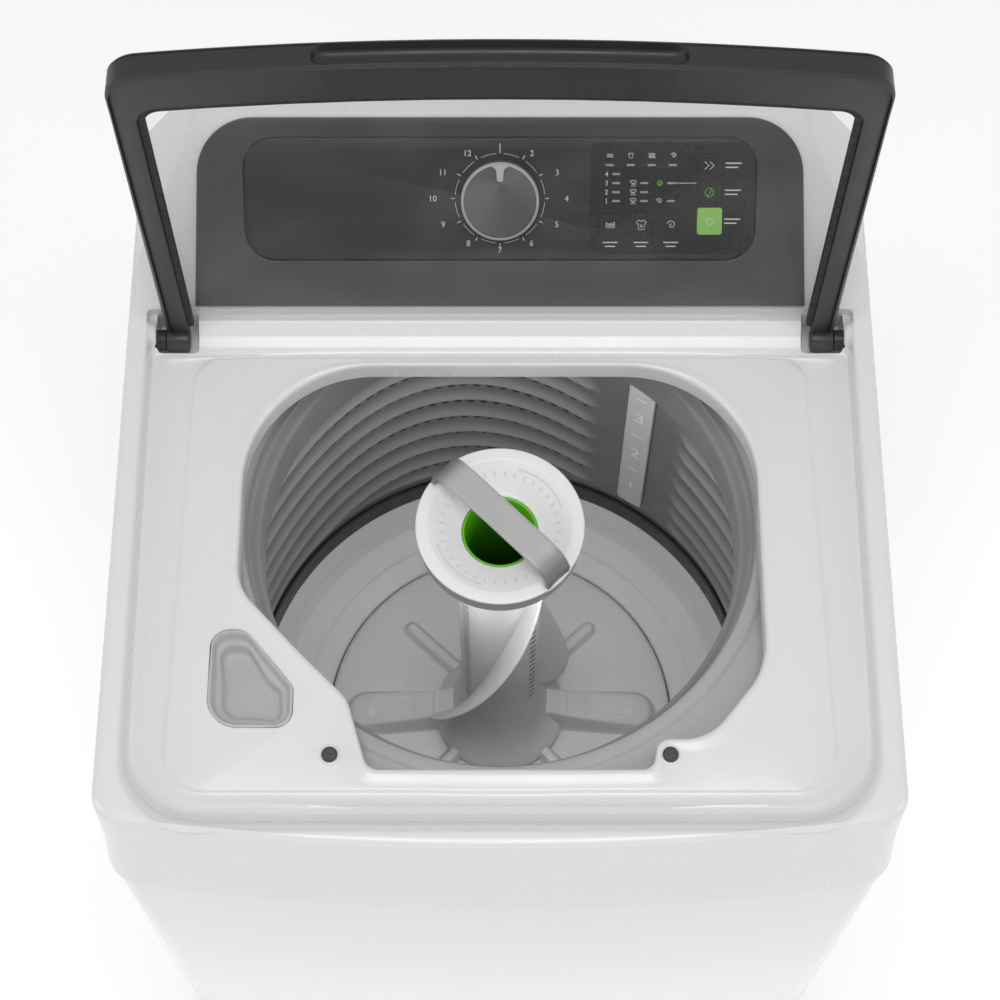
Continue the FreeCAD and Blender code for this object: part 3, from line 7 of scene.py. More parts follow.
# %% Load the frame
import bmesh
import bpy
import json
import math
import numpy as np
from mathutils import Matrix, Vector


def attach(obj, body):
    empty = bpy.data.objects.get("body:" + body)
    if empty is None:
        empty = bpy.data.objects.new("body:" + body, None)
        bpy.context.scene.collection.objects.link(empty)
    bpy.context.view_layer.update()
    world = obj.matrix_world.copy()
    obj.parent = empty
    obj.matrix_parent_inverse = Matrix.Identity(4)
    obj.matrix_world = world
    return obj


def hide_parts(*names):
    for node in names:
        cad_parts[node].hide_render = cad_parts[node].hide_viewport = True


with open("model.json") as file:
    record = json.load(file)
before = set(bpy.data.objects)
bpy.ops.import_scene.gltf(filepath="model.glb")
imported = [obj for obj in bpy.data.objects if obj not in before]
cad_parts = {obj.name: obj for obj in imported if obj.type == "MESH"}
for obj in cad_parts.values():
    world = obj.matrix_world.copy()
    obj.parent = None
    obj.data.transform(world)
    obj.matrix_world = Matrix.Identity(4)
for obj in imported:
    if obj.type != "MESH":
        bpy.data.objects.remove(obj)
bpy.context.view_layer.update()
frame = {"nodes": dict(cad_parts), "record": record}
nodes = frame["nodes"]
MM = 0.001

# %% [markdown]
# ## Shader maths in plain Python
# A finish is a network of nodes, and most of its nodes do arithmetic. Wiring those by hand is slow
# to read. A small class wraps a socket and lets Python's own operators make the Math nodes, so that
# a mask can be written as 1 - spots * 0.5. Every other node comes from one method.


# %% A socket that takes part in arithmetic
class Value:
    def __init__(self, finish, socket):
        self.finish = finish
        self.socket = socket

    def maths(self, operation, *values):
        return self.finish.node("ShaderNodeMath", {"operation": operation}, *values)

    def __add__(self, other):
        return self.maths("ADD", self, other)

    def __sub__(self, other):
        return self.maths("SUBTRACT", self, other)

    def __rsub__(self, other):
        return self.maths("SUBTRACT", other, self)

    def __mul__(self, other):
        return self.maths("MULTIPLY", self, other)

    def __truediv__(self, other):
        return self.maths("DIVIDE", self, other)

    def __rtruediv__(self, other):
        return self.maths("DIVIDE", other, self)

    def __pow__(self, power):
        return self.maths("POWER", self, power)

    def __gt__(self, other):
        return self.maths("GREATER_THAN", self, other)

    def __abs__(self):
        return self.maths("ABSOLUTE", self)

    __radd__ = __add__
    __rmul__ = __mul__

    def part(self):
        """What is left over each whole number."""
        return self.maths("FRACT", self)

    def floor(self):
        return self.maths("FLOOR", self)

    def most(self, other):
        return self.maths("MAXIMUM", self, other)

    def hypot(self, other):
        return (self * self + other * other) ** 0.5

    def ramp(self, low, high, start=0.0, end=1.0):
        """Runs smoothly from start to end while this value goes from low to high."""
        return self.finish.node("ShaderNodeMapRange", {"interpolation_type": "SMOOTHSTEP"},
                                self, low, high, start, end)


# %% One finish: its shader and the nodes that feed it
class Finish:
    def __init__(self, name, colour, roughness, **constants):
        self.material = bpy.data.materials.new(name)
        self.material.use_nodes = True
        self.tree = self.material.node_tree
        self.shader = self.tree.nodes["Principled BSDF"]
        self.colour = colour
        self.feed(self.shader, "Roughness", roughness)
        self.feed(self.shader, "Base Color", colour)
        for socket, value in constants.items():
            self.feed(self.shader, socket.replace("_", " "), value)
        self.place = self.node("ShaderNodeTexCoord", {}, output="Object")

    def node(self, kind, settings, *values, output=0, **named):
        made = self.tree.nodes.new(kind)
        for key, value in settings.items():
            if key == "stops":
                for index, (position, colour) in enumerate(value):
                    if index > 1:
                        made.color_ramp.elements.new(position)
                    made.color_ramp.elements[index].position = position
                    made.color_ramp.elements[index].color = (*colour, 1)
            else:
                setattr(made, key, value)
        for index, value in enumerate(values):
            self.feed(made, index, value)
        for socket, value in named.items():
            self.feed(made, socket.replace("_", " "), value)
        return Value(self, made.outputs[output])

    def feed(self, made, socket, value):
        target = made.inputs[socket]
        if isinstance(value, Value):
            self.tree.links.new(value.socket, target)
        elif isinstance(value, tuple) and len(value) == 3 and target.type == "RGBA":
            target.default_value = (*value, 1)
        else:
            target.default_value = value

    def axes(self):
        """The place on the object along X, Y and Z, in millimetres."""
        split = self.tree.nodes.new("ShaderNodeSeparateXYZ")
        self.feed(split, 0, self.place)
        return [Value(self, split.outputs[index]) * 1000 for index in range(3)]

    def noise(self, size, detail=2.0, stretch=None):
        """Cloudy noise whose patches are about size millimetres across."""
        spot = self.place
        if stretch:
            spot = self.node("ShaderNodeVectorMath", {"operation": "MULTIPLY"}, spot, stretch)
        return self.node("ShaderNodeTexNoise", {}, Vector=spot, Scale=1000 / size, Detail=detail,
                         output="Fac")

    def cells(self, size, output="Distance", feature="F1"):
        return self.node("ShaderNodeTexVoronoi", {"feature": feature}, Vector=self.place,
                         Scale=1000 / size, output=output)

    def attribute(self, name):
        return self.node("ShaderNodeAttribute", {"attribute_name": name}, output="Fac")

    def mix(self, share, first, second):
        made = self.tree.nodes.new("ShaderNodeMix")
        made.data_type = "RGBA"
        self.feed(made, 0, share)
        self.feed(made, 6, first)
        self.feed(made, 7, second)
        return Value(self, made.outputs[2])

    def paint(self, socket, value):
        self.feed(self.shader, socket, value)
        return self

    def emboss(self, height, depth):
        """Raise the surface where height is 1, by depth millimetres."""
        normal = self.node("ShaderNodeBump", {}, Height=height, Distance=depth * MM, Strength=1.0)
        return self.paint("Normal", normal)

    def mottle(self, size, amount, rough_low, rough_high, grain=0.0, depth=0.0):
        """Uneven colour and sheen over large patches, and a fine grain."""
        cloud = self.noise(size)
        shade = tuple(channel * (1 - amount) for channel in self.colour)
        self.paint("Base Color", self.mix(cloud, shade, self.colour))
        self.paint("Roughness", self.noise(size * 0.37, 3).ramp(0.3, 0.7, rough_low, rough_high))
        if grain:
            self.emboss(self.noise(grain, 1), depth)
        return self


def grey(level):
    """A neutral colour from its brightness on screen, 0 to 255."""
    share = level / 255
    linear = share / 12.92 if share < 0.04045 else ((share + 0.055) / 1.055) ** 2.4
    return (linear, linear, linear)


print("shader helpers ready")

# %% [markdown]
# ## Mesh helpers
# Nearly every moulding on this machine is a stack of closed loops: a turned ring, a dished tray, a
# tub or a cover. One helper joins loops of the same number of points into a skin. The others make
# the loops: points round a circle, or round an outline with rounded corners. A last helper copies a
# CAD part and rounds all its sharp edges, for the plain sheet and box shapes.


# %% Turn points and faces into a piece that rides on a body
def piece(name, points, faces, body, finish, replaces=(), slot=None, sharp=40):
    mesh = bpy.data.meshes.new(name)
    mesh.from_pydata([tuple(point) for point in np.asarray(points, float) * MM], [], faces)
    mesh.validate()
    work = bmesh.new()
    work.from_mesh(mesh)
    if work.calc_volume(signed=True) < 0:
        bmesh.ops.reverse_faces(work, faces=work.faces)
        work.to_mesh(mesh)
    work.free()
    made = bpy.data.objects.new(name, mesh)
    bpy.context.scene.collection.objects.link(made)
    return settle(made, body, finish, replaces, sharp)


def settle(made, body, finish, replaces=(), sharp=40):
    """Smooth shading except over sharp edges, a finish, and a body to ride on."""
    mesh = made.data
    mesh.polygons.foreach_set("use_smooth", [True] * len(mesh.polygons))
    mesh.set_sharp_from_angle(angle=math.radians(sharp))
    mesh.materials.clear()
    mesh.materials.append(finish.material)
    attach(made, body)
    if replaces:
        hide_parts(*replaces)
    return made


def skin(loops, closed=False, caps=False):
    """Faces between neighbouring loops, as points and faces. closed joins the last to the first."""
    loops = [np.asarray(loop, float) for loop in loops]
    count = len(loops[0])
    faces = []
    for row in range(len(loops) if closed else len(loops) - 1):
        low, high = row * count, (row + 1) % len(loops) * count
        for spot in range(count):
            after = (spot + 1) % count
            faces.append((low + spot, low + after, high + after, high + spot))
    if caps:
        faces.append(tuple(reversed(range(count))))
        faces.append(tuple(range((len(loops) - 1) * count, len(loops) * count)))
    return np.vstack(loops), faces


def join(parts):
    """Several sets of points and faces as one."""
    points, faces, start = [], [], 0
    for some_points, some_faces in parts:
        points.append(np.asarray(some_points, float))
        faces += [tuple(index + start for index in face) for face in some_faces]
        start += len(some_points)
    return np.vstack(points), faces


# %% Outlines with rounded corners, and turned shapes
def rounded_outline(corners, step=3.0):
    """Points round a closed outline. A corner is (x, y, radius)."""
    spots = [np.array(corner[:2], float) for corner in corners]
    line = []
    for index, corner in enumerate(corners):
        spot, radius = spots[index], corner[2]
        back = spots[index - 1] - spot
        ahead = spots[(index + 1) % len(spots)] - spot
        back, ahead = back / np.linalg.norm(back), ahead / np.linalg.norm(ahead)
        half = math.acos(np.clip(back @ ahead, -1, 1)) / 2
        if radius < 0.01 or half > 1.55:
            line.append(spot)
            continue
        reach = radius / math.tan(half)
        middle = spot + (back + ahead) / np.linalg.norm(back + ahead) * radius / math.sin(half)
        first, last = spot + back * reach - middle, spot + ahead * reach - middle
        turn = math.atan2(first[0] * last[1] - first[1] * last[0], first @ last)
        start = math.atan2(first[1], first[0])
        for share in np.linspace(0, 1, max(3, int(abs(turn) * radius / step) + 2)):
            angle = start + turn * share
            line.append(middle + radius * np.array([math.cos(angle), math.sin(angle)]))
    line = np.array(line)
    dense = []
    for first, last in zip(line, np.roll(line, -1, axis=0)):
        pieces = max(1, int(np.linalg.norm(last - first) / step))
        dense += [first + (last - first) * share / pieces for share in range(pieces)]
    return np.array(dense)


def softened(profile, radius=1.5, steps=3):
    """An open profile with each corner replaced by a few points on a small curve."""
    spots = [np.array(spot, float) for spot in profile]
    line = [spots[0]]
    for before, spot, after in zip(spots, spots[1:], spots[2:]):
        reach = min(radius, np.linalg.norm(before - spot) * 0.45, np.linalg.norm(after - spot) * 0.45)
        start = spot + (before - spot) / np.linalg.norm(before - spot) * reach
        stop = spot + (after - spot) / np.linalg.norm(after - spot) * reach
        for share in np.linspace(0, 1, steps):
            line.append(start * (1 - share) ** 2 + spot * 2 * share * (1 - share) + stop * share ** 2)
    return np.array(line + [spots[-1]])


AXIS = (0.0, -11.0)


def turned(profile, centre=AXIS, count=192, radius=1.5, closed=True):
    """A profile of (radius, height) points turned about an upright axis."""
    if closed:
        profile = list(profile) + [profile[0]]
    profile = softened(profile, radius)
    if closed:
        profile = profile[:-1]
    angles = np.linspace(0, 2 * math.pi, count, endpoint=False)
    loops = [np.column_stack([centre[0] + spot[0] * np.cos(angles),
                              centre[1] + spot[0] * np.sin(angles),
                              np.full(count, spot[1])]) for spot in profile]
    return skin(loops, closed=closed)


def smooth(value, low, high):
    share = np.clip((value - low) / (high - low), 0, 1)
    return share * share * (3 - 2 * share)


# %% Copy a CAD part with all its sharp edges rounded
def eased(name, source, width, finish, segments=3, angle=35):
    made = nodes[source].copy()
    made.data = nodes[source].data.copy()
    made.name = name
    made.parent = None
    for key in list(made.keys()):
        del made[key]
    bpy.context.scene.collection.objects.link(made)

    work = bmesh.new()
    work.from_mesh(made.data)
    bmesh.ops.remove_doubles(work, verts=work.verts, dist=2e-6)
    bmesh.ops.dissolve_limit(work, angle_limit=math.radians(1.0), verts=work.verts, edges=work.edges)
    work.to_mesh(made.data)
    work.free()
    if "custom_normal" in made.data.attributes:
        made.data.attributes.remove(made.data.attributes["custom_normal"])
    bevel = made.modifiers.new("bevel", "BEVEL")
    bevel.width = width * MM
    bevel.segments = segments
    bevel.angle_limit = math.radians(angle)
    bevel.limit_method = "ANGLE"
    bevel.use_clamp_overlap = True
    bevel.loop_slide = False
    graph = bpy.context.evaluated_depsgraph_get()
    bpy.context.view_layer.update()
    mesh = bpy.data.meshes.new_from_object(made.evaluated_get(graph))
    made.modifiers.clear()
    made.data = mesh
    body = next(key for key, members in frame["record"]["behaviour"]["bodies"].items()
                if source in members)
    return settle(made, body, finish, (source,), sharp=50)


print("mesh helpers ready")

# %% [markdown]
# ## Finishes
# White parts are moulded ABS and enamelled steel: almost the same white, but the plastic is softer
# in its shine and the enamel has a fine orange peel. The console and lid are grained charcoal
# plastic. Inside, the basket and the agitator are natural polypropylene greys with a satin bloom.
# Each finish has its own grain size in millimetres, so it stays at the right scale on every part.

# %% White plastic, enamel and greys
white = Finish("white_plastic", grey(232), 0.3, Coat_Weight=0.25, Coat_Roughness=0.12)
white.mottle(140, 0.015, 0.26, 0.34, grain=9, depth=0.012)

# painted shade: the tray's white plastic is painted grey for the shade inside the sunk dish; the pump,
# valve and pressure switch share this material
tray_white_painted_shade = Finish("tray_white_painted_shade", grey(190), 0.42)
tray_white_painted_shade.mottle(60, 0.03, 0.34, 0.44, grain=0.9, depth=0.008)

enamel = Finish("painted_steel", grey(233), 0.2, Coat_Weight=0.6, Coat_Roughness=0.06)
enamel.mottle(180, 0.012, 0.2, 0.26, grain=7, depth=0.01)

light_grey = Finish("light_grey_plastic", grey(205), 0.34)
light_grey.mottle(55, 0.04, 0.28, 0.42, grain=1.1, depth=0.012)

ring_grey = Finish("ring_grey_plastic", grey(184), 0.4)
ring_grey.mottle(48, 0.05, 0.34, 0.46, grain=1.0, depth=0.012)

natural = Finish("tub_plastic", grey(202), 0.5)
natural.mottle(90, 0.08, 0.42, 0.6, grain=1.4, depth=0.05)

# %% Charcoal, panel and rubber
charcoal = Finish("charcoal_plastic", grey(50), 0.4)
charcoal.mottle(60, 0.08, 0.36, 0.46, grain=0.55, depth=0.012)

pebble = Finish("hinge_black_plastic", grey(34), 0.5)
pebble.mottle(30, 0.12, 0.42, 0.58, grain=0.7, depth=0.05)

fascia = Finish("fascia_plastic", grey(70), 0.36)
# painted light: the fascia's colour is lighter at its foot and darker towards its top, a gradient of
# light painted into it
painted_light_slope = (fascia.axes()[2] - 938).ramp(0, 108)
fascia.paint("Base Color", fascia.mix(painted_light_slope, grey(84), grey(58)))
fascia.paint("Roughness", fascia.noise(30, 3).ramp(0.3, 0.7, 0.3, 0.4))
fascia.emboss(fascia.noise(0.5, 3), 0.008)

panel = Finish("panel_plastic", grey(42), 0.36)
panel.mottle(26, 0.08, 0.32, 0.4, grain=0.5, depth=0.006)

cluster = Finish("cluster_film", grey(32), 0.3)
cluster.mottle(18, 0.08, 0.26, 0.34, grain=0.4, depth=0.004)

rubber = Finish("black_rubber", grey(40), 0.7)
rubber.mottle(14, 0.2, 0.6, 0.85, grain=0.6, depth=0.06)

bumper_rubber = Finish("bumper_rubber", grey(74), 0.62)
bumper_rubber.mottle(5, 0.2, 0.5, 0.75, grain=0.5, depth=0.08)

ink = Finish("printed_ink", grey(236), 0.5)
ink.mottle(2.5, 0.06, 0.45, 0.55)

green_ink = Finish("printed_green_ink", (0.2, 0.62, 0.08), 0.45)
green_ink.mottle(2.5, 0.06, 0.4, 0.5)

# %% Greens: the start key and the strainer inside the cap
key_green = Finish("key_green", (0.33, 0.68, 0.14), 0.3)
key_green.mottle(9, 0.05, 0.25, 0.36, grain=0.5, depth=0.012)

strainer = Finish("green_plastic", (0.12, 0.45, 0.02), 0.35)
height = strainer.axes()[2]
# painted shade: the strainer goes from bright green at its rim to near black deep in the cup
painted_shade_depth = height.ramp(640, 856)
strainer.paint("Base Color", strainer.mix(painted_shade_depth, (0.001, 0.02, 0.001), (0.14, 0.58, 0.015)))
strainer.paint("Roughness", strainer.noise(12).ramp(0.3, 0.7, 0.28, 0.45))
mesh_ribs = abs((height / 4).part() - 0.5).ramp(0.3, 0.5)
strainer.emboss(mesh_ribs, 0.25)

# %% Metals under the skin
zinc = Finish("galvanised_steel", grey(176), 0.4, Metallic=1.0)
spangle = zinc.cells(14, output="Color")
spangle_grey = zinc.node("ShaderNodeRGBToBW", {}, spangle)
zinc.paint("Base Color", zinc.mix(spangle_grey, grey(150), grey(196)))
zinc.paint("Roughness", spangle_grey.ramp(0, 1, 0.3, 0.5))
zinc.emboss(zinc.noise(5, 3), 0.03)

cast = Finish("cast_aluminium", grey(178), 0.5, Metallic=1.0)
cast.mottle(24, 0.15, 0.42, 0.62, grain=1.5, depth=0.12)

dipped = Finish("motor_steel", grey(52), 0.45, Metallic=0.3)
dipped.mottle(20, 0.2, 0.36, 0.55, grain=1.8, depth=0.06)
laminations = abs((dipped.axes()[2] / 1.3).part() - 0.5)
dipped.emboss(laminations, 0.12)

hose = Finish("hose_plastic", grey(150), 0.48)
corrugation_and_painted_shade = abs((hose.axes()[2] / 5).part() - 0.5).ramp(0.1, 0.4)
# painted shade: the corrugation's valleys are painted darker and its crests lighter, on top of the real
# bump
hose.paint("Base Color", hose.mix(corrugation_and_painted_shade, grey(124), grey(168)))
hose.paint("Roughness", hose.noise(20).ramp(0.3, 0.7, 0.4, 0.55))
hose.emboss(corrugation_and_painted_shade, 0.6)

belt_rubber = Finish("belt_rubber", grey(36), 0.7)
belt_ribs_and_painted_shade = abs((belt_rubber.axes()[2] / 2.4).part() - 0.5)
# painted shade: the belt's rib grooves are painted darker and the crests lighter, on top of the real
# bump
belt_rubber.paint("Base Color", belt_rubber.mix(belt_ribs_and_painted_shade * 2, grey(26), grey(46)))
belt_rubber.paint("Roughness", belt_rubber.noise(8).ramp(0.3, 0.7, 0.6, 0.8))
belt_rubber.emboss(belt_ribs_and_painted_shade, 0.5)

circuit = Finish("circuit_board", (0.01, 0.12, 0.04), 0.3)
across, along, up = circuit.axes()
tracks = ((across / 5).part() > 0.78).most((along / 6).part() > 0.82) * (circuit.noise(16) > 0.5)
circuit.paint("Base Color", circuit.mix(tracks, (0.01, 0.12, 0.04), (0.05, 0.3, 0.1)))
circuit.paint("Roughness", circuit.noise(6).ramp(0.3, 0.7, 0.24, 0.4))
circuit.emboss(tracks, 0.05)

lens = Finish("light_lens", grey(150), 0.25, Emission_Strength=0.12)
lens.mottle(3, 0.12, 0.2, 0.32)
lens.paint("Emission Color", grey(200))

# %% Tempered glass: nearly clear face on, and more mirror-like at a glancing angle
glass = Finish("tempered_glass", grey(150), 0.03, IOR=1.35)
glancing = glass.node("ShaderNodeLayerWeight", {}, 0.35, output="Facing")
haze = glass.noise(90, 3).ramp(0.35, 0.7)
glass.paint("Alpha", glancing.ramp(0.2, 1.0, 0.05, 0.4) + haze * 0.01)
glass.paint("Roughness", haze * 0.03 + 0.02)
glass.paint("Base Color", glass.mix(haze, grey(120), grey(150)))

print("finishes made:", len(bpy.data.materials))

# %% [markdown]
# ## The top cover
# The real cover is one large injection moulding. Its deck sinks below the rim so that the lid can
# lie flush, a bead runs round the loading opening, and the skirt leans back at the front and is
# bowed. Nearly all of its lines are closed loops round the opening, so the surface is a stack of
# loops at chosen offsets, each a few millimetres above or below its neighbours. Three cutters then
# make the hinge pockets and the bleach tray's hole.

# %% Loops of the top cover
COVER_CENTRE = np.array([0.0, -60.0])
TURNS = np.linspace(-math.pi, math.pi, 900, endpoint=False)


def reach(corners):
    """How far an outline lies from the cover's middle, at each of the loop's angles."""
    offset = rounded_outline(corners, 1.5) - COVER_CENTRE
    angles = np.arctan2(offset[:, 1], offset[:, 0])
    order = np.argsort(angles)
    return np.interp(TURNS, angles[order], np.hypot(*offset.T)[order], period=2 * math.pi)


def bowed(half, back, front, corner, back_corner=6):
    """The machine's plan: straight sides and back, bowed front."""
    arc = 2253.0
    middle = [(x, front + arc - math.sqrt(arc * arc - x * x), 0) for x in range(-280, 281, 20)]
    edge = front + arc - math.sqrt(arc * arc - half * half)
    return [(half, back, back_corner), (-half, back, back_corner), (-half, edge, corner), *middle,
            (half, edge, corner)]


mouth = reach([(223, 121.6, 112), (-223, 121.6, 112), (-223, -88, 50), (-168, -147, 30),
               (-127, -188, 34), (-109, -249, 13), (126, -249, 11), (130, -223, 11),
               (172, -223, 45), (223, -160, 70)])
step_line = reach([(270, 130, 26), (-270, 130, 26), (-277, -268, 34), (277, -268, 34)])
foot_line = reach([(309, 134.5, 5), (-309, 134.5, 5), (-305, -284, 58), (305, -284, 58)])
rim_line = reach([(311, 166, 5), (-311, 166, 5), (-309.5, -306, 66), (309.5, -306, 66)])
edge_line = reach(bowed(330, 335, -323, 28))
hem_line = reach(bowed(330, 335, -345, 28))

directions = np.column_stack([np.cos(TURNS), np.sin(TURNS)])
rim_height = 938 - 8 * smooth(COVER_CENTRE[1] + rim_line * directions[:, 1], 150, 165)
room = foot_line - mouth


def loop_at(distance, height):
    place = COVER_CENTRE + directions * np.asarray(distance)[:, None]
    return np.column_stack([place, np.broadcast_to(height, len(TURNS))])


def over_deck(offset, height):
    """A loop so far outside the opening, squeezed where the deck is narrow."""
    return loop_at(mouth + np.minimum(offset, room * offset / 34), height)


def up_wall(share, height_share):
    """A loop between the deck's edge and the rim."""
    height = 917.2 + (rim_height - 917.2) * height_share
    return loop_at(foot_line + (rim_line - foot_line) * share, height)


inner_step = np.maximum(step_line, mouth + np.minimum(20.0, room * 0.6))
inner_step = np.minimum(inner_step, foot_line - room * 0.12)
cover_loops = [
    over_deck(0, 897.0), over_deck(0, 905.0), over_deck(0, 913.5), over_deck(0.4, 916.8),
    over_deck(1.6, 918.4), over_deck(3.4, 919.2), over_deck(6, 919.3), over_deck(9, 918.7),
    over_deck(13, 918.2), over_deck(17, 918.0),
    loop_at(inner_step - 2.5, 918.0), loop_at(inner_step - 0.8, 917.8),
    loop_at(inner_step + 0.8, 916.9), loop_at(inner_step + 2.5, 916.6),
    loop_at(foot_line - np.minimum(13, room * 0.1), 916.6),
    loop_at(foot_line - np.minimum(9, room * 0.08), 917.4),
    loop_at(foot_line - np.minimum(5, room * 0.05), 916.8),
    loop_at(foot_line - np.minimum(1, room * 0.02), 917.2),
    up_wall(0.1, 0.02), up_wall(0.22, 0.07), up_wall(0.34, 0.2), up_wall(0.46, 0.27),
    up_wall(0.52, 0.34), up_wall(0.62, 0.62), up_wall(0.74, 0.86), up_wall(0.88, 0.97),
    up_wall(1.0, 1.0),
    loop_at(rim_line + 1.4, rim_height + 0.9 * (rim_height - 929) / 9 + 0.6),
    loop_at(rim_line + 2.4, 939.7), loop_at(rim_line + 4.5, 940.0),
    loop_at(edge_line - 8, 940.0), loop_at(edge_line - 5, 939.6), loop_at(edge_line - 2.6, 938.4),
    loop_at(edge_line - 0.9, 936.2), loop_at(edge_line, 933.0),
]
for share in (0.25, 0.5, 0.75, 0.97):
    cover_loops.append(loop_at(edge_line + (hem_line - edge_line) * share, 933 - 95 * share))
cover_loops += [loop_at(hem_line - 0.4, 836.6), loop_at(hem_line - 1.4, 836.0),
                loop_at(hem_line - 3.2, 836.0), loop_at(hem_line - 4, 838.0),
                loop_at(edge_line - 5, 897.0), loop_at(rim_line, 897.0), loop_at(foot_line, 897.0),
                over_deck(8, 896.0)]
cover = piece("cover_moulding", *skin(cover_loops, closed=True), "machine", white, sharp=60)
print("cover loops:", len(cover_loops), "points:", len(cover.data.vertices))


# %% Cut the hinge pockets and the tray's hole
def cutter(name, corners, low, high):
    outline = rounded_outline(corners, 1.5)
    loops = [np.column_stack([outline, np.full(len(outline), height)]) for height in (low, high)]
    points, faces = skin(loops, caps=True)
    mesh = bpy.data.meshes.new(name)
    mesh.from_pydata([tuple(point) for point in points * MM], [], faces)
    made = bpy.data.objects.new(name, mesh)
    bpy.context.scene.collection.objects.link(made)
    return made


TRAY = [(-214, -130, 14), (-241, -130, 14), (-241, -212, 24), (-174, -212, 12), (-174, -178, 8)]


def grown(corners, amount):
    """The same outline, larger all round its own middle."""
    middle = np.mean([corner[:2] for corner in corners], axis=0)
    size = np.ptp([corner[:2] for corner in corners], axis=0) / 2
    return [(middle[0] + (x - middle[0]) * (1 + amount / size[0]),
             middle[1] + (y - middle[1]) * (1 + amount / size[1]), radius + amount)
            for x, y, radius in corners]


cutters = [cutter(f"pocket_cutter_{side}", [(side * 268, 134.5, 4), (side * 305, 134.5, 4),
                                            (side * 305, 167, 2), (side * 268, 167, 2)][::side],
                  907, 960) for side in (-1, 1)]
cutters.append(cutter("tray_cutter", grown(TRAY, 2.4), 880, 930))
for index, tool in enumerate(cutters):
    cut = cover.modifiers.new(f"cut_{index}", "BOOLEAN")
    cut.operation = "DIFFERENCE"
    cut.solver = "EXACT"
    cut.object = tool
bpy.context.view_layer.update()
cut_mesh = bpy.data.meshes.new_from_object(
    cover.evaluated_get(bpy.context.evaluated_depsgraph_get()))
cover.modifiers.clear()
cover.data = cut_mesh
cover.data.set_sharp_from_angle(angle=math.radians(50))
for tool in cutters:
    bpy.data.objects.remove(tool)
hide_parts("top_cover")
print("cover after cutting:", len(cover.data.vertices), "points")

# %% [markdown]
# ## Bleach tray, bumpers and hinge bushes
# The tray is a thin dish dropped into the deck. A ledge runs round it below the rim, and at its low
# corner three small black discs are painted shade for the holes that let the bleach out. The two
# bumpers are soft buttons in a shallow ring.

# %% The dished tray and its drain holes
tray_middle = np.array([-209.0, -180.0])
tray_outline = rounded_outline(TRAY, 1.5)
tray_offsets = tray_outline - tray_middle
tray_lengths = np.hypot(*tray_offsets.T)[:, None]


def tray_loop(inset, height):
    place = tray_middle + tray_offsets * (tray_lengths - inset) / tray_lengths
    return np.column_stack([place, np.full(len(place), height)])


def tray_patch(share, height):
    """A loop of the tray's floor, drawn in towards its middle."""
    place = tray_middle + tray_offsets * (tray_lengths - 15.0) / tray_lengths * share
    return np.column_stack([place, np.full(len(place), height)])


tray_loops = [tray_loop(inset, height) for inset, height in (
    (14, 896.2), (1.0, 896.2), (-2.2, 897.0), (-2.2, 917.0), (-2.0, 918.3), (-1.0, 918.9),
    (0.2, 918.8), (1.2, 917.6), (1.8, 915.0), (3.0, 909.6), (4.0, 908.4), (7.0, 907.8), (8.2, 907.2),
    (9.2, 905.2), (10.6, 900.8), (12.2, 898.6), (15.0, 897.8))]
tray_loops += [tray_patch(share, 897.8) for share in (0.8, 0.55, 0.3, 0.08)]
points, faces = skin(tray_loops, caps=True)
piece("tray_moulding", points, faces, "machine", tray_white_painted_shade, ("bleach_tray",),
      "white_plastic")
# painted shade: three small black rubber-finished discs stand in for the shade inside the tray's drain
# holes
drain_parts = [turned([(0.1, 897.9), (1.8, 897.9), (1.9, 898.4), (2.9, 898.4), (3.1, 897.5),
                       (0.1, 897.5)], centre, 32, 0.2)
               for centre in ((-187, -204.5), (-179.5, -204.5), (-183.2, -198))]
piece("tray_drain_holes_shade", *join(drain_parts), "machine", rubber)

# %% Bumpers with their rings
bumper_parts, collar_parts = [], []
for centre in ((-140, -237.5), (140, -237.5)):
    bumper_parts.append(turned([(0.1, 918.2), (6.4, 918.2), (6.4, 921.0), (5.4, 922.4), (2.5, 922.7),
                                (0.1, 922.65)], centre, 48, 0.8))
    collar_parts.append(turned([(6.5, 917.0), (9.4, 917.0), (9.0, 918.9), (7.8, 919.5), (6.6, 919.2)],
                               centre, 48, 0.5))
piece("bumpers", *join(bumper_parts), "machine", bumper_rubber, ("lid_bumpers",), "black_rubber")
piece("bumper_collars", *join(collar_parts), "machine", white)
eased("hinge_bushings", "hinge_bushes", 0.6, pebble)
print("tray, bumpers and bushes made")

# %% [markdown]
# ## The lid
# The surround is one U-shaped bar. It is thin beside the glass and thick along the front, where a
# scoop takes the fingers. It is made by carrying one rounded section along the U: every station has
# a point on the outer outline and one on the inner, and the section stretches between them.

# %% Carry a section round the lid's U
LEAN = math.radians(2.5)


def on_lid(across, along, out):
    """A point of the open lid: along its length from the hinge line, and out of its inner face."""
    along, out = np.asarray(along, float), np.asarray(out, float)
    return np.stack(np.broadcast_arrays(
        across, 146 + out * math.cos(LEAN) + along * math.sin(LEAN),
        921 + along * math.cos(LEAN) - out * math.sin(LEAN)), axis=-1)


FRONT_RADIUS = 2253.0


def half_u(half, reach, corner, front_count):
    """Half of the lid's outline, from the left leg's foot round a corner to the bowed front."""
    low = reach - FRONT_RADIUS
    corner_along = low + math.sqrt((FRONT_RADIUS - corner) ** 2 - (half - corner) ** 2)
    meet = math.atan2(corner_along - low, corner - half)
    side = [(-half, along) for along in np.linspace(0, corner_along, 44)]
    bend = [(corner - half + corner * math.cos(angle), corner_along + corner * math.sin(angle))
            for angle in np.linspace(math.pi, meet, 26)[1:]]
    front = [(FRONT_RADIUS * math.cos(angle), low + FRONT_RADIUS * math.sin(angle))
             for angle in np.linspace(meet, math.pi / 2, front_count)[1:]]
    return np.array(side + bend + front)


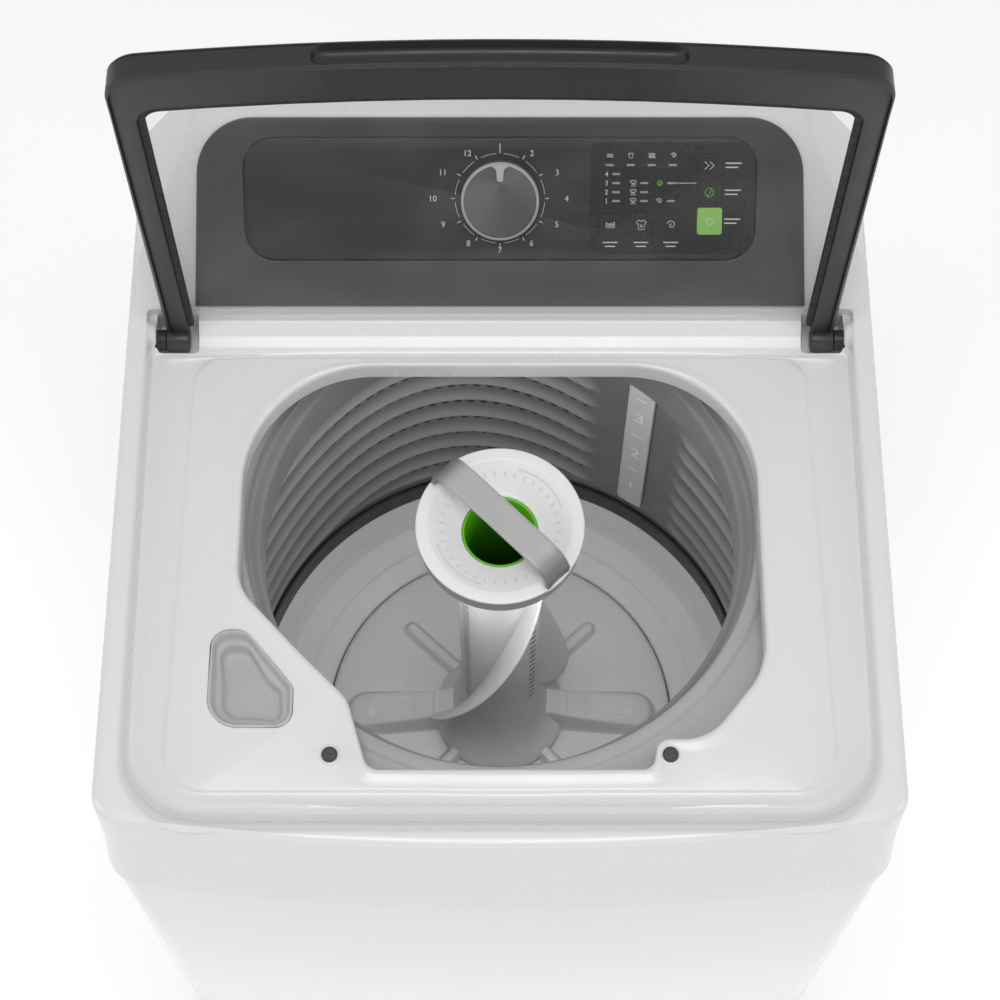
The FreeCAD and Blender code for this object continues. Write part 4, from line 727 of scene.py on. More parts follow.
def whole_u(*sizes):
    left = half_u(*sizes)
    return np.vstack([left, left[:-1][::-1] * [-1, 1]])


outer_u = whole_u(296, 392, 28, 130)
inner_u = whole_u(276, 352, 20, 130)
front_share = smooth(outer_u[:, 1], 290, 350)
back_out = 17 + 11 * front_share
SCOOP_MIDDLE, SCOOP_HALF, SCOOP_DEPTH = 13.8, 9.7, 9.0
SCOOP_FULL, SCOOP_FADE = 127, 12
SCOOP_HEIGHTS = SCOOP_MIDDLE + SCOOP_HALF * np.array([-1.02, -0.98, -0.93, -0.84, -0.7, -0.45, -0.2, 0.1,
                                                      0.35, 0.6, 0.78, 0.9, 0.96, 1.0, 1.03])


def scoop_depth(across, out):
    """How deep the finger scoop is at a point of the front face."""
    past = np.clip((abs(across) - SCOOP_FULL) / SCOOP_FADE, 0, 1)
    half = SCOOP_HALF * math.sqrt(1 - past ** 2)
    off = abs(out - SCOOP_MIDDLE) / half if half > 0.1 else 1.0
    return SCOOP_DEPTH * max(0.0, 1 - off ** 6) ** 0.7 * (1 - 0.4 * past)


def bar_section(width, back, share):
    """The bar's section: across from its outer edge, and out from the lid's inner face."""
    turns = np.linspace(0, math.pi / 2, 5)
    front_off, back_off, near_off, face_off = 3.6, 6.0, 2.0, 1.4
    section = [(front_off * (1 - math.sin(turn)), 2 + front_off * (1 - math.cos(turn)))
               for turn in turns[::-1]]
    plain = np.linspace(6.4, back - 7, len(SCOOP_HEIGHTS))
    middle = plain + (SCOOP_HEIGHTS - plain) * share
    section += [(0.0, height) for height in middle]
    section += [(back_off * (1 - math.cos(turn)), back - back_off * (1 - math.sin(turn)))
                for turn in turns]
    section += [(width - near_off * (1 - math.sin(turn)), back - near_off * (1 - math.cos(turn)))
                for turn in turns[::-1]]
    section += [(width - face_off * (1 - math.cos(turn)), 2 + face_off * (1 - math.sin(turn)))
                for turn in turns]
    return section


surround_loops = []
for outer, inner, back, share in zip(outer_u, inner_u, back_out, front_share):
    width = np.linalg.norm(outer - inner)
    loop = []
    for u, w in bar_section(width, back, share):
        across, along = outer + (inner - outer) * u / width
        if u == 0 and abs(outer[0]) < SCOOP_FULL + SCOOP_FADE:
            along -= scoop_depth(outer[0], w)
        loop.append(on_lid(across, along, w))
    surround_loops.append(loop)
surround = skin(surround_loops, caps=True)


def barrel(near, far, radius, along=0.0, out=0.0, ease=1.2, count=40):
    """A short bar along X on the hinge line, with eased ends."""
    angles = np.linspace(0, 2 * math.pi, count, endpoint=False)
    profile = softened([(near, 0.1), (near, radius), (far, radius), (far, 0.1)], ease)
    loops = [np.array([on_lid(x, along + size * math.cos(angle), out + size * math.sin(angle))
                       for angle in angles]) for x, size in profile]
    return skin(loops)


knuckles = [barrel(*span, 9.8) for span in ((-295.8, -276.2), (276.2, 295.8))]
lid_bar = piece("lid_surround", *join([surround, *knuckles]), "lid", charcoal, ("lid_frame",),
                "charcoal_plastic", sharp=45)
nodes["lid_glass"].data.materials.clear()
nodes["lid_glass"].data.materials.append(glass.material)
print("lid surround points:", len(lid_bar.data.vertices))

# %% [markdown]
# ## The console
# The white housing is a hollow wedge with shoulders. The dark fascia lies on its slope and carries
# a sunk panel. Both come from the CAD parts with their edges rounded. Everything printed on the
# panel is thin ink: real geometry a few hundredths of a millimetre proud, so it stays crisp and
# bakes well. The dial's stops are numbered from 1 to 12, and the keys carry plain pictograms.

# %% Housing, fascia and panel
eased("console_shell", "console_housing", 5.0, white, segments=4, angle=30)
eased("console_slope", "console_fascia", 1.1, fascia, segments=3)
eased("console_inset", "console_panel", 0.35, panel, segments=2)

SLOPE = math.atan2(110, 130)
UP = np.array([0, math.cos(SLOPE), math.sin(SLOPE)])
OUT = np.array([0, -math.sin(SLOPE), math.cos(SLOPE)])


def on_panel(spots, lift):
    """Points across and up the panel, lifted off its face."""
    spots = np.asarray(spots, float)
    base = np.array([0, 165.0, 940.0]) + OUT * (lift - 2.5)
    return base + spots[:, :1] * [1, 0, 0] + spots[:, 1:2] * UP


def ribbon(line, width, closed=False):
    """A printed line of even width through some points, as one strip."""
    line = np.asarray(line, float)
    if closed and np.allclose(line[0], line[-1]):
        line = line[:-1]
    after = np.roll(line, -1, axis=0) - line
    before = line - np.roll(line, 1, axis=0)
    if not closed:
        after[-1], before[0] = before[-1], after[0]
    after /= np.linalg.norm(after, axis=1)[:, None]
    before /= np.linalg.norm(before, axis=1)[:, None]
    course = after + before
    course /= np.linalg.norm(course, axis=1)[:, None] + 1e-9
    side = np.column_stack([-course[:, 1], course[:, 0]]) * width / 2
    count = len(line)
    faces = [(index, index + count, (index + 1) % count + count, (index + 1) % count)
             for index in range(count if closed else count - 1)]
    return np.vstack([line + side, line - side]), faces


def circle(centre, radius, start=0, stop=360, count=28):
    angles = np.radians(np.linspace(start, stop, count))
    return np.column_stack([centre[0] + radius * np.cos(angles), centre[1] + radius * np.sin(angles)])


def written(text, centre, height):
    """A numeral as flat points and faces, with its middle at centre."""
    curve = bpy.data.curves.new("numeral", "FONT")
    curve.body = text
    curve.size = height * 1.37
    curve.align_x = "CENTER"
    curve.resolution_u = 3
    holder = bpy.data.objects.new("numeral", curve)
    bpy.context.scene.collection.objects.link(holder)
    bpy.context.view_layer.update()
    mesh = bpy.data.meshes.new_from_object(
        holder.evaluated_get(bpy.context.evaluated_depsgraph_get()))
    points = np.array([vertex.co[:2] for vertex in mesh.vertices])
    faces = [tuple(face.vertices) for face in mesh.polygons]
    bpy.data.objects.remove(holder)
    bpy.data.meshes.remove(mesh)
    middle = (points.max(0) + points.min(0)) / 2
    return points - middle + centre, faces


def printed(name, marks, body, finish, lift=0.06):
    """Flat marks on the panel as one piece."""
    points, faces = join([(np.column_stack([spots, np.zeros(len(spots))]), shapes)
                          for spots, shapes in marks])
    return piece(name, on_panel(points[:, :2], lift), faces, body, finish, slot="light_lens")


# %% Marks round the dial
DIAL = np.array([0.0, 99.5])
dial_marks = []
for stop in range(12):
    angle = math.radians(90 - 30 * stop)
    ray = np.array([math.cos(angle), math.sin(angle)])
    dial_marks.append(ribbon([DIAL + ray * 39.5, DIAL + ray * 43.0], 0.8))
    spread = np.array([1.0 + 0.1 * abs(ray[0]), 0.86])
    dial_marks.append(written(str(stop + 1), DIAL + ray * 53 * spread, 5.4))
for stop in range(12):
    start = 90 - 30 * stop - 5
    dial_marks.append(ribbon(circle(DIAL, 39.2, start, start - 20, 10), 0.45))
printed("dial_marks", dial_marks, "machine", ink)
print("dial marks:", len(dial_marks))

# %% The cluster of lights and keys on the right
film_outline = rounded_outline([(79, 50, 9), (222.5, 50, 9), (222.5, 149.5, 9), (79, 149.5, 9)], 1.5)
film_loops = [on_panel(film_outline * [1, 1], 0.0)]
film_middle = film_outline.mean(axis=0)
for inset, lift in ((0.0, 0.16), (0.25, 0.26), (0.7, 0.3)):
    shrunk = film_middle + (film_outline - film_middle) * (1 - inset / 50)
    film_loops.append(on_panel(shrunk, lift))
points, faces = skin(film_loops)
faces.append(tuple(range(len(points) - len(film_outline), len(points))))
piece("cluster_film", points, faces, "machine", cluster, slot="panel_plastic")
strip = rounded_outline([(86, 126.4, 1.2), (167, 126.4, 1.2), (167, 131.2, 1.2), (86, 131.2, 1.2)], 1)
strip_faces = [tuple(range(len(strip)))]
piece("light_strip", on_panel(strip, 0.34), strip_faces, "machine", panel, slot="panel_plastic")

# %% Pictograms drawn as lines
SHIRT = np.array([(-1.1, 2.4), (-2.6, 1.5), (-2.1, 0.2), (-1.5, 0.6), (-1.5, -2.4), (1.5, -2.4),
                  (1.5, 0.6), (2.1, 0.2), (2.6, 1.5), (1.1, 2.4), (0, 1.7)])
WAVE = np.column_stack([np.linspace(-2.4, 2.4, 19), 0.45 * np.sin(np.linspace(0, 12.6, 19))])
COIL = np.array([(0.32 * turn * math.cos(turn), 0.32 * turn * math.sin(turn))
                 for turn in np.linspace(0.8, 9.2, 40)])
LEAF = np.array([(1.9 * math.cos(turn) * (1 + 0.25 * math.cos(2 * turn)), 2.5 * math.sin(turn))
                 for turn in np.linspace(0, 2 * math.pi, 30, endpoint=False)])


def drawn(shape, centre, scale, width=0.55, closed=False):
    return ribbon(np.asarray(centre) + np.asarray(shape) * scale, width, closed)


def bar(centre, length, width=1.0):
    """A plain short line where the real panel has a caption."""
    return ribbon([np.array(centre) - [length / 2, 0], np.array(centre) + [length / 2, 0]], width)


cluster_marks = [written(digit, (93.0, along), 4.4) for digit, along in
                 (("4", 120.9), ("3", 113.0), ("2", 105.1), ("1", 97.3))]
for along in (113.0, 105.1, 97.3):
    cluster_marks.append(drawn(SHIRT, (116.4, along), 1.05, 0.5, True))
    cluster_marks.append(drawn(circle((0, -0.6), 0.5, count=10), (116.4, along), 1.0, 0.7, True))
cluster_marks += [drawn(COIL, (139.3, 97.3), 0.85), ribbon([(153, 113), (171.5, 113)], 0.5),
                  drawn(WAVE, (95.7, 137.8), 1.1), drawn(WAVE, (95.7, 136.0), 1.1),
                  drawn(SHIRT, (113.9, 137), 0.9, 0.5, True), drawn(WAVE, (132.2, 138.4), 1.2),
                  drawn(WAVE, (132.2, 136.9), 1.2), drawn(WAVE, (132.2, 135.4), 1.2),
                  drawn(COIL, (151.2, 137), 0.85)]
for across in (96.7, 123.9, 150.2):
    cluster_marks += [bar((across, 60.8), 13), bar((across, 57.4), 9)]
for across, along in ((203.5, 128.5), (203.5, 105), (203.5, 79.6)):
    cluster_marks += [bar((across, along + 1.8), 14), bar((across - 1.5, along - 1.8), 11)]
printed("cluster_marks", cluster_marks, "machine", ink, 0.42)
printed("eco_mark", [drawn(LEAF, (139.4, 113), 0.85, 0.6, True),
                     ribbon([(138.5, 110.6), (140.2, 114.2)], 0.5)], "machine", green_ink, 0.42)

# %% Six keys with eased edges and a pictogram each
POWER = [(circle((0, 0), 2.7, -240, 60, 30), False), ([(0, 0.3), (0, 3.3)], False)]
LEVEL = [([(-3.6, 2.4), (-3.6, -2.4), (3.6, -2.4), (3.6, 2.4)], False),
         (WAVE * 1.2 + [0, 0.8], False), (WAVE * 1.2 - [0, 0.7], False),
         ([(2.4, 2.2), (3.6, 2.2)], False), ([(2.4, 0.9), (3.6, 0.9)], False)]
KEYS = {
    "level_button": ((96.7, 76.6, 19, 18), LEVEL, ink),
    "soil_button": ((123.9, 76.6, 19, 18),
                    [(SHIRT * 1.7, True), (circle((0, -1.0), 0.9, count=12), True)], ink),
    "extra_dry_button": ((150.2, 76.6, 19, 18), [(COIL * 1.35, False)], ink),
    "skip_button": ((182.4, 128.5, 19, 18), [([(-4.2, 3.4), (-0.4, 0), (-4.2, -3.4)], False),
                                             ([(0.2, 3.4), (4.0, 0), (0.2, -3.4)], False)], ink),
    "eco_button": ((182.8, 105, 19, 18),
                   [(LEAF * 1.6, True), ([(-1.8, -4.4), (1.6, 2.4)], False)], green_ink),
    "start_button": ((183.6, 79.6, 22, 24), POWER, ink),
}
for key, ((across, along, width, length), shapes, key_ink) in KEYS.items():
    middle = np.array([across, along])
    outline = rounded_outline([(across + a * width / 2, along + b * length / 2, 2.5)
                               for a, b in ((-1, -1), (1, -1), (1, 1), (-1, 1))], 0.8) - middle
    loops = []
    for inset, lift in ((0, -2.4), (0.0, 1.0), (0.12, 1.5), (0.4, 1.85), (0.9, 2.0), (1.6, 1.96),
                        (4.5, 1.8)):
        loops.append(on_panel(middle + outline * (1 - 2 * inset / width), lift))
    start = key == "start_button"
    piece(key + "_cap", *skin(loops, caps=True), key + "_body", key_green if start else cluster,
          (key,), "key_green" if start else "panel_plastic")
    printed(key + "_mark", [drawn(shape, middle, 1.0, 0.6, closed) for shape, closed in shapes],
            key + "_body", key_ink, 2.06)
print("keys made:", len(KEYS))

# %% [markdown]
# ## The dial knob
# The knob is one turned shape with a chamfered rim, a face that dips a little, and a light pointer
# let into it. Fine turning marks in the face are a small bump; the soft fan of light that spun plastic
# shows is painted into the face's colour as a painted sheen, and a pale ring on the chamfer is a
# painted highlight.

# %% Knob, rim with a painted highlight, and pointer
knob_grey = Finish("knob_grey", grey(98), 0.36)
across, along, up = knob_grey.axes()
from_dial = across.hypot((along - 165 - UP[1] * 99.5) / UP[1])
sweep = knob_grey.node("ShaderNodeMath", {"operation": "ARCTAN2"},
                       (along - 165 - UP[1] * 99.5) / UP[1], across)
# painted sheen: the face's colour turns lighter and darker twice round the dial, the fan of light that
# spun plastic shows
painted_sheen_fan = knob_grey.node("ShaderNodeMath", {"operation": "SINE"}, sweep * 2 + 0.5)
knob_grey.paint("Base Color", knob_grey.mix(painted_sheen_fan * 0.5 + 0.5, grey(88), grey(112)))
knob_grey.paint("Roughness", knob_grey.noise(4).ramp(0.3, 0.7, 0.3, 0.42))
turning = abs((from_dial / 0.7).part() - 0.5)
knob_grey.emboss(turning, 0.02)

pointer_and_rim_highlight_grey = Finish("pointer_and_rim_highlight_grey", grey(206), 0.3, Coat_Weight=0.3)
pointer_and_rim_highlight_grey.mottle(6, 0.06, 0.26, 0.36, grain=0.5, depth=0.01)


def on_dial(profile, count=120):
    angles = np.linspace(0, 2 * math.pi, count, endpoint=False)
    ray = np.column_stack([np.cos(angles), np.sin(angles)])
    return [on_panel(DIAL + ray * radius, lift) for radius, lift in profile]


knob_profile = softened([(3, 0.6), (33.4, 0.6), (34, 1.6), (34, 15.5), (33.4, 17.6), (31.6, 20.4),
                         (30.4, 21.7), (29.2, 21.95), (28.0, 21.7), (18, 21.2), (0.2, 21.0)], 0.5)
piece("dial_knob", *skin(on_dial(knob_profile), caps=True), "dial", knob_grey, ("knob",),
      "charcoal_plastic", sharp=50)
# painted highlight: a pale ring on the knob's chamfer stands for the bright line of light along that
# edge
rim_highlight_profile = softened([(33.3, 17.0), (34.0, 17.1), (34.1, 17.7), (32.2, 20.6), (31.6, 20.5),
                        (31.2, 20.0)], 0.3)
piece("dial_rim_highlight", *skin(on_dial(rim_highlight_profile)), "dial", pointer_and_rim_highlight_grey)
pointer = rounded_outline([(9.5, 32.2, 0.4), (-9.5, 32.2, 0.4), (-3.4, 28.4, 4), (-2.6, 17.5, 2.2),
                           (2.6, 17.5, 2.2), (3.4, 28.4, 4)], 0.5)
pointer_middle = np.array([0, 26.0])
loops = [on_panel(DIAL + pointer_middle + (pointer - pointer_middle) * share, lift)
         for share, lift in ((1.0, 19.6), (1.0, 22.0), (0.97, 22.3), (0.9, 22.4))]
piece("dial_pointer", *skin(loops, caps=True), "dial", pointer_and_rim_highlight_grey)
print("knob made")

# %% [markdown]
# ## Basket, rings and bowl
# The basket wall is pressed with wavy ribs and a row of small holes runs along each valley. The
# holes are far too many to cut, so the wall carries two numbers at each point: which row it is in,
# and how far along that row. The finish turns those into sunk dots painted near black, painted shade
# where real holes show the dark behind the wall. The ribs themselves are real relief, and their
# crests are painted lighter than their valleys. Three smooth columns part the ribbed panels, and one
# carries the scale strip.

# %% The pressed wall
PANELS = 3
COLUMN_HALF = math.radians(9)
FIRST_COLUMN = math.radians(57)
PITCH = 37.0
angles = np.linspace(0, 2 * math.pi, 1080, endpoint=False)
heights = np.linspace(380.5, 845.5, 250)
round_angle, wall_height = np.meshgrid(angles, heights)
panel_angle = np.mod(round_angle - FIRST_COLUMN, 2 * math.pi / PANELS)
panel_share = (panel_angle - COLUMN_HALF) / (2 * math.pi / PANELS - 2 * COLUMN_HALF)
inside_share = np.clip(panel_share, 0, 1)
wave = 34 * np.sin(inside_share * 2.0 * math.pi * 0.92 - 0.5) - 60 * (1 - inside_share)
row = (wall_height - wave) / PITCH
edge_fade = smooth(panel_share, 0.0, 0.05) * (1 - smooth(panel_share, 0.95, 1.0))
end_fade = smooth(wall_height, 410, 432) * (1 - smooth(wall_height, 790, 812))
pressed = edge_fade * end_fade
phase = row - np.floor(row)
rib = smooth(phase, 0.28, 0.44) * (1 - smooth(phase, 0.50, 1.0))
swell = 0.6 + 0.4 * np.sin(inside_share * 9 + np.floor(row) * 1.7)
inset = 0.4 + pressed * rib * (4.4 + 1.4 * swell)
bands = 0.7 * (smooth(wall_height, 386, 390) - smooth(wall_height, 393, 396))
wall_radius = 265.6 - inset - bands
wall_points = np.column_stack([(AXIS[0] + wall_radius * np.cos(round_angle)).ravel(),
                               (AXIS[1] + wall_radius * np.sin(round_angle)).ravel(),
                               wall_height.ravel()])
outside = [np.column_stack([AXIS[0] + 266.6 * np.cos(angles), AXIS[1] + 266.6 * np.sin(angles),
                            np.full(len(angles), height)]) for height in (845.5, 380.5)]
inside_loops = wall_points.reshape(len(heights), len(angles), 3)
points, faces = skin([*inside_loops, *outside], closed=True)
basket_grey = Finish("basket_plastic", grey(126), 0.36)
wall = piece("basket_wall", points, [face[::-1] for face in faces], "basket", basket_grey,
             ("drum_wall",), "basket_plastic", sharp=80)
padding = np.zeros(2 * len(angles))
for name, values in (("row_count", row), ("along_count", inside_share * 265 * 1.78 / 13.5),
                     ("pressed", pressed), ("relief", pressed * rib)):
    layer = wall.data.attributes.new(name, "FLOAT", "POINT")
    layer.data.foreach_set("value", np.concatenate([values.ravel(), padding]).astype(np.float32))
print("basket wall points:", len(points))

# %% The wall's finish: satin grey, painted light on the ribs and painted shade in the sunk holes
row_count = basket_grey.attribute("row_count")
along_count = basket_grey.attribute("along_count")
down_row = (row_count.part() - 0.14) * PITCH
shifted = along_count + row_count.floor() * 0.5
along_row = (shifted.part() - 0.5) * 13.5
# painted shade: the holes are painted near black where real holes show the dark behind the wall; the
# bump sinks them
holes = down_row.hypot(along_row).ramp(4.0, 3.1) * (basket_grey.attribute("pressed") > 0.85)
cloud = basket_grey.noise(60, 3)
# painted light: rib crests are painted lighter and the valleys darker, with a little random cloud
plain = basket_grey.mix(basket_grey.attribute("relief") * 0.8 + cloud * 0.2, grey(92), grey(150))
basket_grey.paint("Base Color", basket_grey.mix(holes, plain, grey(12)))
basket_grey.paint("Roughness", basket_grey.noise(25, 3).ramp(0.3, 0.7, 0.3, 0.42))
basket_grey.emboss((1 - holes) + basket_grey.noise(1.2) * 0.02, 1.2)

# %% Turned rings round the mouth, the bowl and the dark band
black_band = Finish("black_band", grey(30), 0.3)
black_band.mottle(40, 0.2, 0.24, 0.4, grain=0.9, depth=0.02)
basket_rim = Finish("basket_rim_plastic", grey(160), 0.34)
basket_rim.mottle(50, 0.07, 0.28, 0.42, grain=1.0, depth=0.02)

piece("tub_cover_ring", *turned([(224, 874), (226, 873.4), (227, 880), (288.3, 880), (288.3, 858.2),
                                 (290.8, 858.2), (290.8, 881), (288, 883), (254, 883), (250, 881.6),
                                 (240, 881.6), (236, 883), (229, 883), (225.5, 881.5)], radius=1.2),
      "tub", ring_grey, ("tub_ring",), "light_grey_plastic")
piece("basket_rim_ring", *turned([(213.2, 800.4), (264.5, 800.4), (264.5, 861.5), (252, 864.5),
                                  (240, 866), (232.5, 865.4), (229, 860.5), (225, 858.2),
                                  (222, 857.6), (219.5, 853), (217, 847.5), (213.2, 843.6)],
                                 radius=1.8), "basket", basket_rim, ("balance_ring",),
      "basket_plastic")
bowl = [(16.5, 312), (192, 312), (192, 331.6), (241.6, 346), (261, 364), (264.6, 366.2),
        (264.6, 374), (261.8, 375.6), (257.2, 370.4), (249, 362.5), (247.4, 359.6), (239.4, 351.8),
        (236, 351.0), (215, 344.4), (212.8, 342.6), (196, 338.4), (191.6, 337.6), (189.2, 335.6),
        (189, 320.2), (16.5, 320.2)]
piece("basket_bowl", *turned(bowl, radius=1.6), "basket", light_grey, ("basket_base",),
      "light_grey_plastic")
piece("basket_band", *turned([(260.6, 375.8), (264.7, 374.2), (264.7, 405.6), (262.6, 406.0),
                              (261.4, 402), (260.4, 379)], radius=0.8), "basket", black_band)
print("rings and bowl made")

# %% [markdown]
# ## The scale strip
# A pale strip stands on one smooth column of the wall, with raised steps from 1 to 4 and a short
# dash between them. It is a flat shape bent to the wall's radius.

# %% Strip, numerals and dashes bent to the wall
STRIP_ANGLE = math.radians(57)


def on_wall(spots, inward):
    """Flat points (across, height) bent round the basket's wall."""
    spots = np.asarray(spots, float)
    turn = STRIP_ANGLE - spots[:, 0] / 261
    radius = 264.6 - np.broadcast_to(inward, len(spots))
    return np.column_stack([AXIS[0] + radius * np.cos(turn), AXIS[1] + radius * np.sin(turn),
                            spots[:, 1]])


strip_outline = rounded_outline([(-15, 424, 6), (15, 424, 6), (15, 772, 6), (-15, 772, 6)], 2.5)
strip_middle = np.array([0.0, 598.0])
loops = []
for inset, inward in ((0, 0.1), (0, 2.6), (0.5, 3.2), (1.4, 3.5), (2.6, 3.5), (3.2, 3.1), (4.4, 3.1)):
    shrink = 1 - inset * np.array([1 / 15, 1 / 174])
    loops.append(on_wall(strip_middle + (strip_outline - strip_middle) * shrink, inward))
points, faces = skin(loops)
last = len(points) - len(strip_outline)
faces.append(tuple(last + index for index in range(len(strip_outline))))
strip_grey = Finish("strip_plastic", grey(196), 0.4)
strip_grey.mottle(30, 0.05, 0.34, 0.46, grain=1.0, depth=0.03)
strip_mark = Finish("strip_mark_plastic", grey(236), 0.36)
strip_mark.mottle(12, 0.05, 0.3, 0.42)
piece("scale_strip_moulding", points, faces, "basket", strip_grey, ("scale_strip",),
      "light_grey_plastic")
strip_marks = []
for index in range(4):
    level = 470 + index * 82
    strip_marks.append(written(str(index + 1), (0, level), 20))
    if index < 3:
        strip_marks.append(ribbon([(-6, level + 41), (6, level + 41)], 2.6))
flat, shapes = join([(np.column_stack([spots, np.zeros(len(spots))]), shape)
                     for spots, shape in strip_marks])
piece("scale_marks", on_wall(flat[:, :2], 3.3), shapes, "basket", strip_mark, slot="light_lens")
print("scale strip made")

# %% [markdown]
# ## The agitator
# Plate, ribs and vanes are one moulding with soft blends everywhere, so the plate is best made as a
# field of heights over a polar grid: each rib is a capsule seen from above whose edge falls away
# smoothly. The column is turned, and two broad fins wind up it, each carried along a helix.

# %% Plate with six ribs and two large vanes
plate_radii = np.concatenate([np.linspace(9.5, 30, 8), np.linspace(32, 176, 120),
                              np.linspace(177, 187.2, 12)])
plate_turns = np.linspace(0, 2 * math.pi, 840, endpoint=False)
radius_grid, turn_grid = np.meshgrid(plate_radii, plate_turns, indexing="ij")
base = np.interp(radius_grid, [9, 60, 66, 110, 178, 184, 187.2], [354, 354, 352.5, 345.6, 341.2,
                                                                 340.2, 337.4])
top = base.copy()
for index in range(8):
    large = index % 4 == 0
    angle = math.radians(45 * index)
    out = radius_grid * np.cos(turn_grid - angle)
    side = radius_grid * np.sin(turn_grid - angle)
    if large:
        half_width = 25 - 4 * smooth(out, 150, 40)
        reach_out, ease = 172.0, 8.0
        crown = np.interp(out, [20, 52, 75, 100, 135, 160, 172], [397, 390, 379, 372, 364, 357, 350])
        crown = crown - 7 * np.clip(np.abs(side) / 24, 0, 1) ** 2
        dish = smooth(out, 88, 100) * (1 - smooth(out, 134, 146)) * (1 - smooth(np.abs(side), 6, 13))
        crown = crown - 1.8 * dish
    else:
        half_width = np.full_like(out, 9.5)
        reach_out, ease = 148.0, 6.0
        crown = base + np.interp(out, [20, 60, 100, 150], [14, 11, 9.5, 7.5])
        crown = crown - 2.2 * np.clip(np.abs(side) / 9.5, 0, 1) ** 2
    past = np.maximum(out - (reach_out - half_width), 0)
    from_spine = np.hypot(past, side)
    cover_share = 1 - smooth(from_spine, half_width - ease, half_width + 1.0)
    cover_share = np.where(out > 5, cover_share, 0)
    top = np.maximum(top, base + (crown - base) * cover_share)
lip = 0.6 * (smooth(radius_grid, 68, 70) - smooth(radius_grid, 71, 73))
top = top + lip
plate_loops = [np.column_stack([AXIS[0] + radius * np.cos(plate_turns),
                                AXIS[1] + radius * np.sin(plate_turns), heights_row])
               for radius, heights_row in zip(plate_radii, top)]
for inset, height in ((0.0, 334.0), (0.4, 331.0), (2.0, 330.2), (150, 330.2), (177.4, 330.2)):
    radius = 187.2 - inset
    plate_loops.append(np.column_stack([AXIS[0] + radius * np.cos(plate_turns),
                                        AXIS[1] + radius * np.sin(plate_turns),
                                        np.full(len(plate_turns), height)]))
piece("agitator_plate", *skin(plate_loops, closed=True), "agitator", light_grey,
      ("impeller_plate",), "light_grey_plastic", sharp=60)
print("agitator plate made")

# %% Column with slots, and its collar
column_grey = Finish("column_plastic", grey(178), 0.38)
across, along, up = column_grey.axes()
column_turn = column_grey.node("ShaderNodeMath", {"operation": "ARCTAN2"}, along + 11, across)
slots = None
for middle in (-0.6, -2.54, 1.2, 2.6):
    sideways = (column_turn - middle) * 40
    slanted = ((up + sideways * 0.9) / 13).part() - 0.5
    run = abs(sideways).ramp(5.6, 4.6) * abs(slanted).ramp(0.2, 0.13)
    run = run * up.ramp(470, 474) * up.ramp(776, 770)
    slots = run if slots is None else slots.most(run)
cloud = column_grey.noise(60, 3)
# painted shade: the slots are painted dark grey where real slots show the shade inside the column; the
# bump sinks them
column_grey.paint("Base Color", column_grey.mix(slots, column_grey.mix(cloud, grey(196), grey(210)),
                                                grey(64)))
column_grey.paint("Roughness", column_grey.noise(25, 3).ramp(0.3, 0.7, 0.32, 0.44))
column_grey.emboss((1 - slots) + column_grey.noise(1.2) * 0.02, 1.6)

spots = np.array([(70, 355), (70.2, 358), (67, 364), (60, 373), (53.4, 384), (48, 399), (44.4, 418),
                  (41.8, 442), (40.3, 470), (39.8, 520), (39.6, 640), (39.6, 760), (39.8, 818),
                  (41.5, 828), (48, 835), (60, 841), (69.5, 844.4), (73, 847.5), (73.2, 850),
                  (73.2, 862), (72.6, 864.6), (70.4, 865.8), (66, 865.8), (64.6, 864.4),
                  (63.4, 856), (62, 851.4), (37.5, 850), (36.5, 848), (36.5, 366), (40, 355)])
piece("agitator_post", *turned(spots, count=160, radius=3.0), "agitator", column_grey,
      ("agitator_column",), "light_grey_plastic", sharp=50)


# %% Two winding fins
def fin(start):
    rows = []
    for share in np.linspace(0, 1, 70):
        height = 392 + share * 424
        wide = 84 + (47 - 84) * share ** 1.4
        lobe = math.sqrt(max(0.0, 1 - (1 - min(share / 0.13, 1)) ** 2))
        closing = math.sqrt(max(0.0, 1 - max(0, (share - 0.93) / 0.07) ** 2))
        tip = 37 + (wide - 37) * max(lobe * closing, 0.03)
        turn = math.radians(start + 130 * max(0, (height - 400)) / 416)
        section = []
        for along, half_thick in ((0, 3.2), (0.3, 2.8), (0.6, 2.3), (0.86, 2.0), (0.95, 1.7),
                                  (0.99, 1.0)):
            section.append((37 + (tip - 37) * along, half_thick))
        ring = [(reach, -thick) for reach, thick in section] + [(tip, 0)]
        ring += [(reach, thick) for reach, thick in reversed(section)]
        sweep_back = 9 * ((np.array([reach for reach, thick in ring]) - 37) / 47) ** 2 * (1 - share)
        rows.append([(AXIS[0] + reach * math.cos(turn) - (thick - back) * math.sin(turn),
                      AXIS[1] + reach * math.sin(turn) + (thick - back) * math.cos(turn), height)
                     for (reach, thick), back in zip(ring, sweep_back)])
    return skin(rows, caps=True)


piece("agitator_fins", *join([fin(20), fin(200)]), "agitator", light_grey, sharp=60)
print("column and fins made")

# %% [markdown]
# ## The lift-out filter
# The white dish rests on the agitator's collar. Its handle is a broad strap with a slightly hollow
# top and round shoulders, let into a notch at each end. The green strainer shows through the hole.

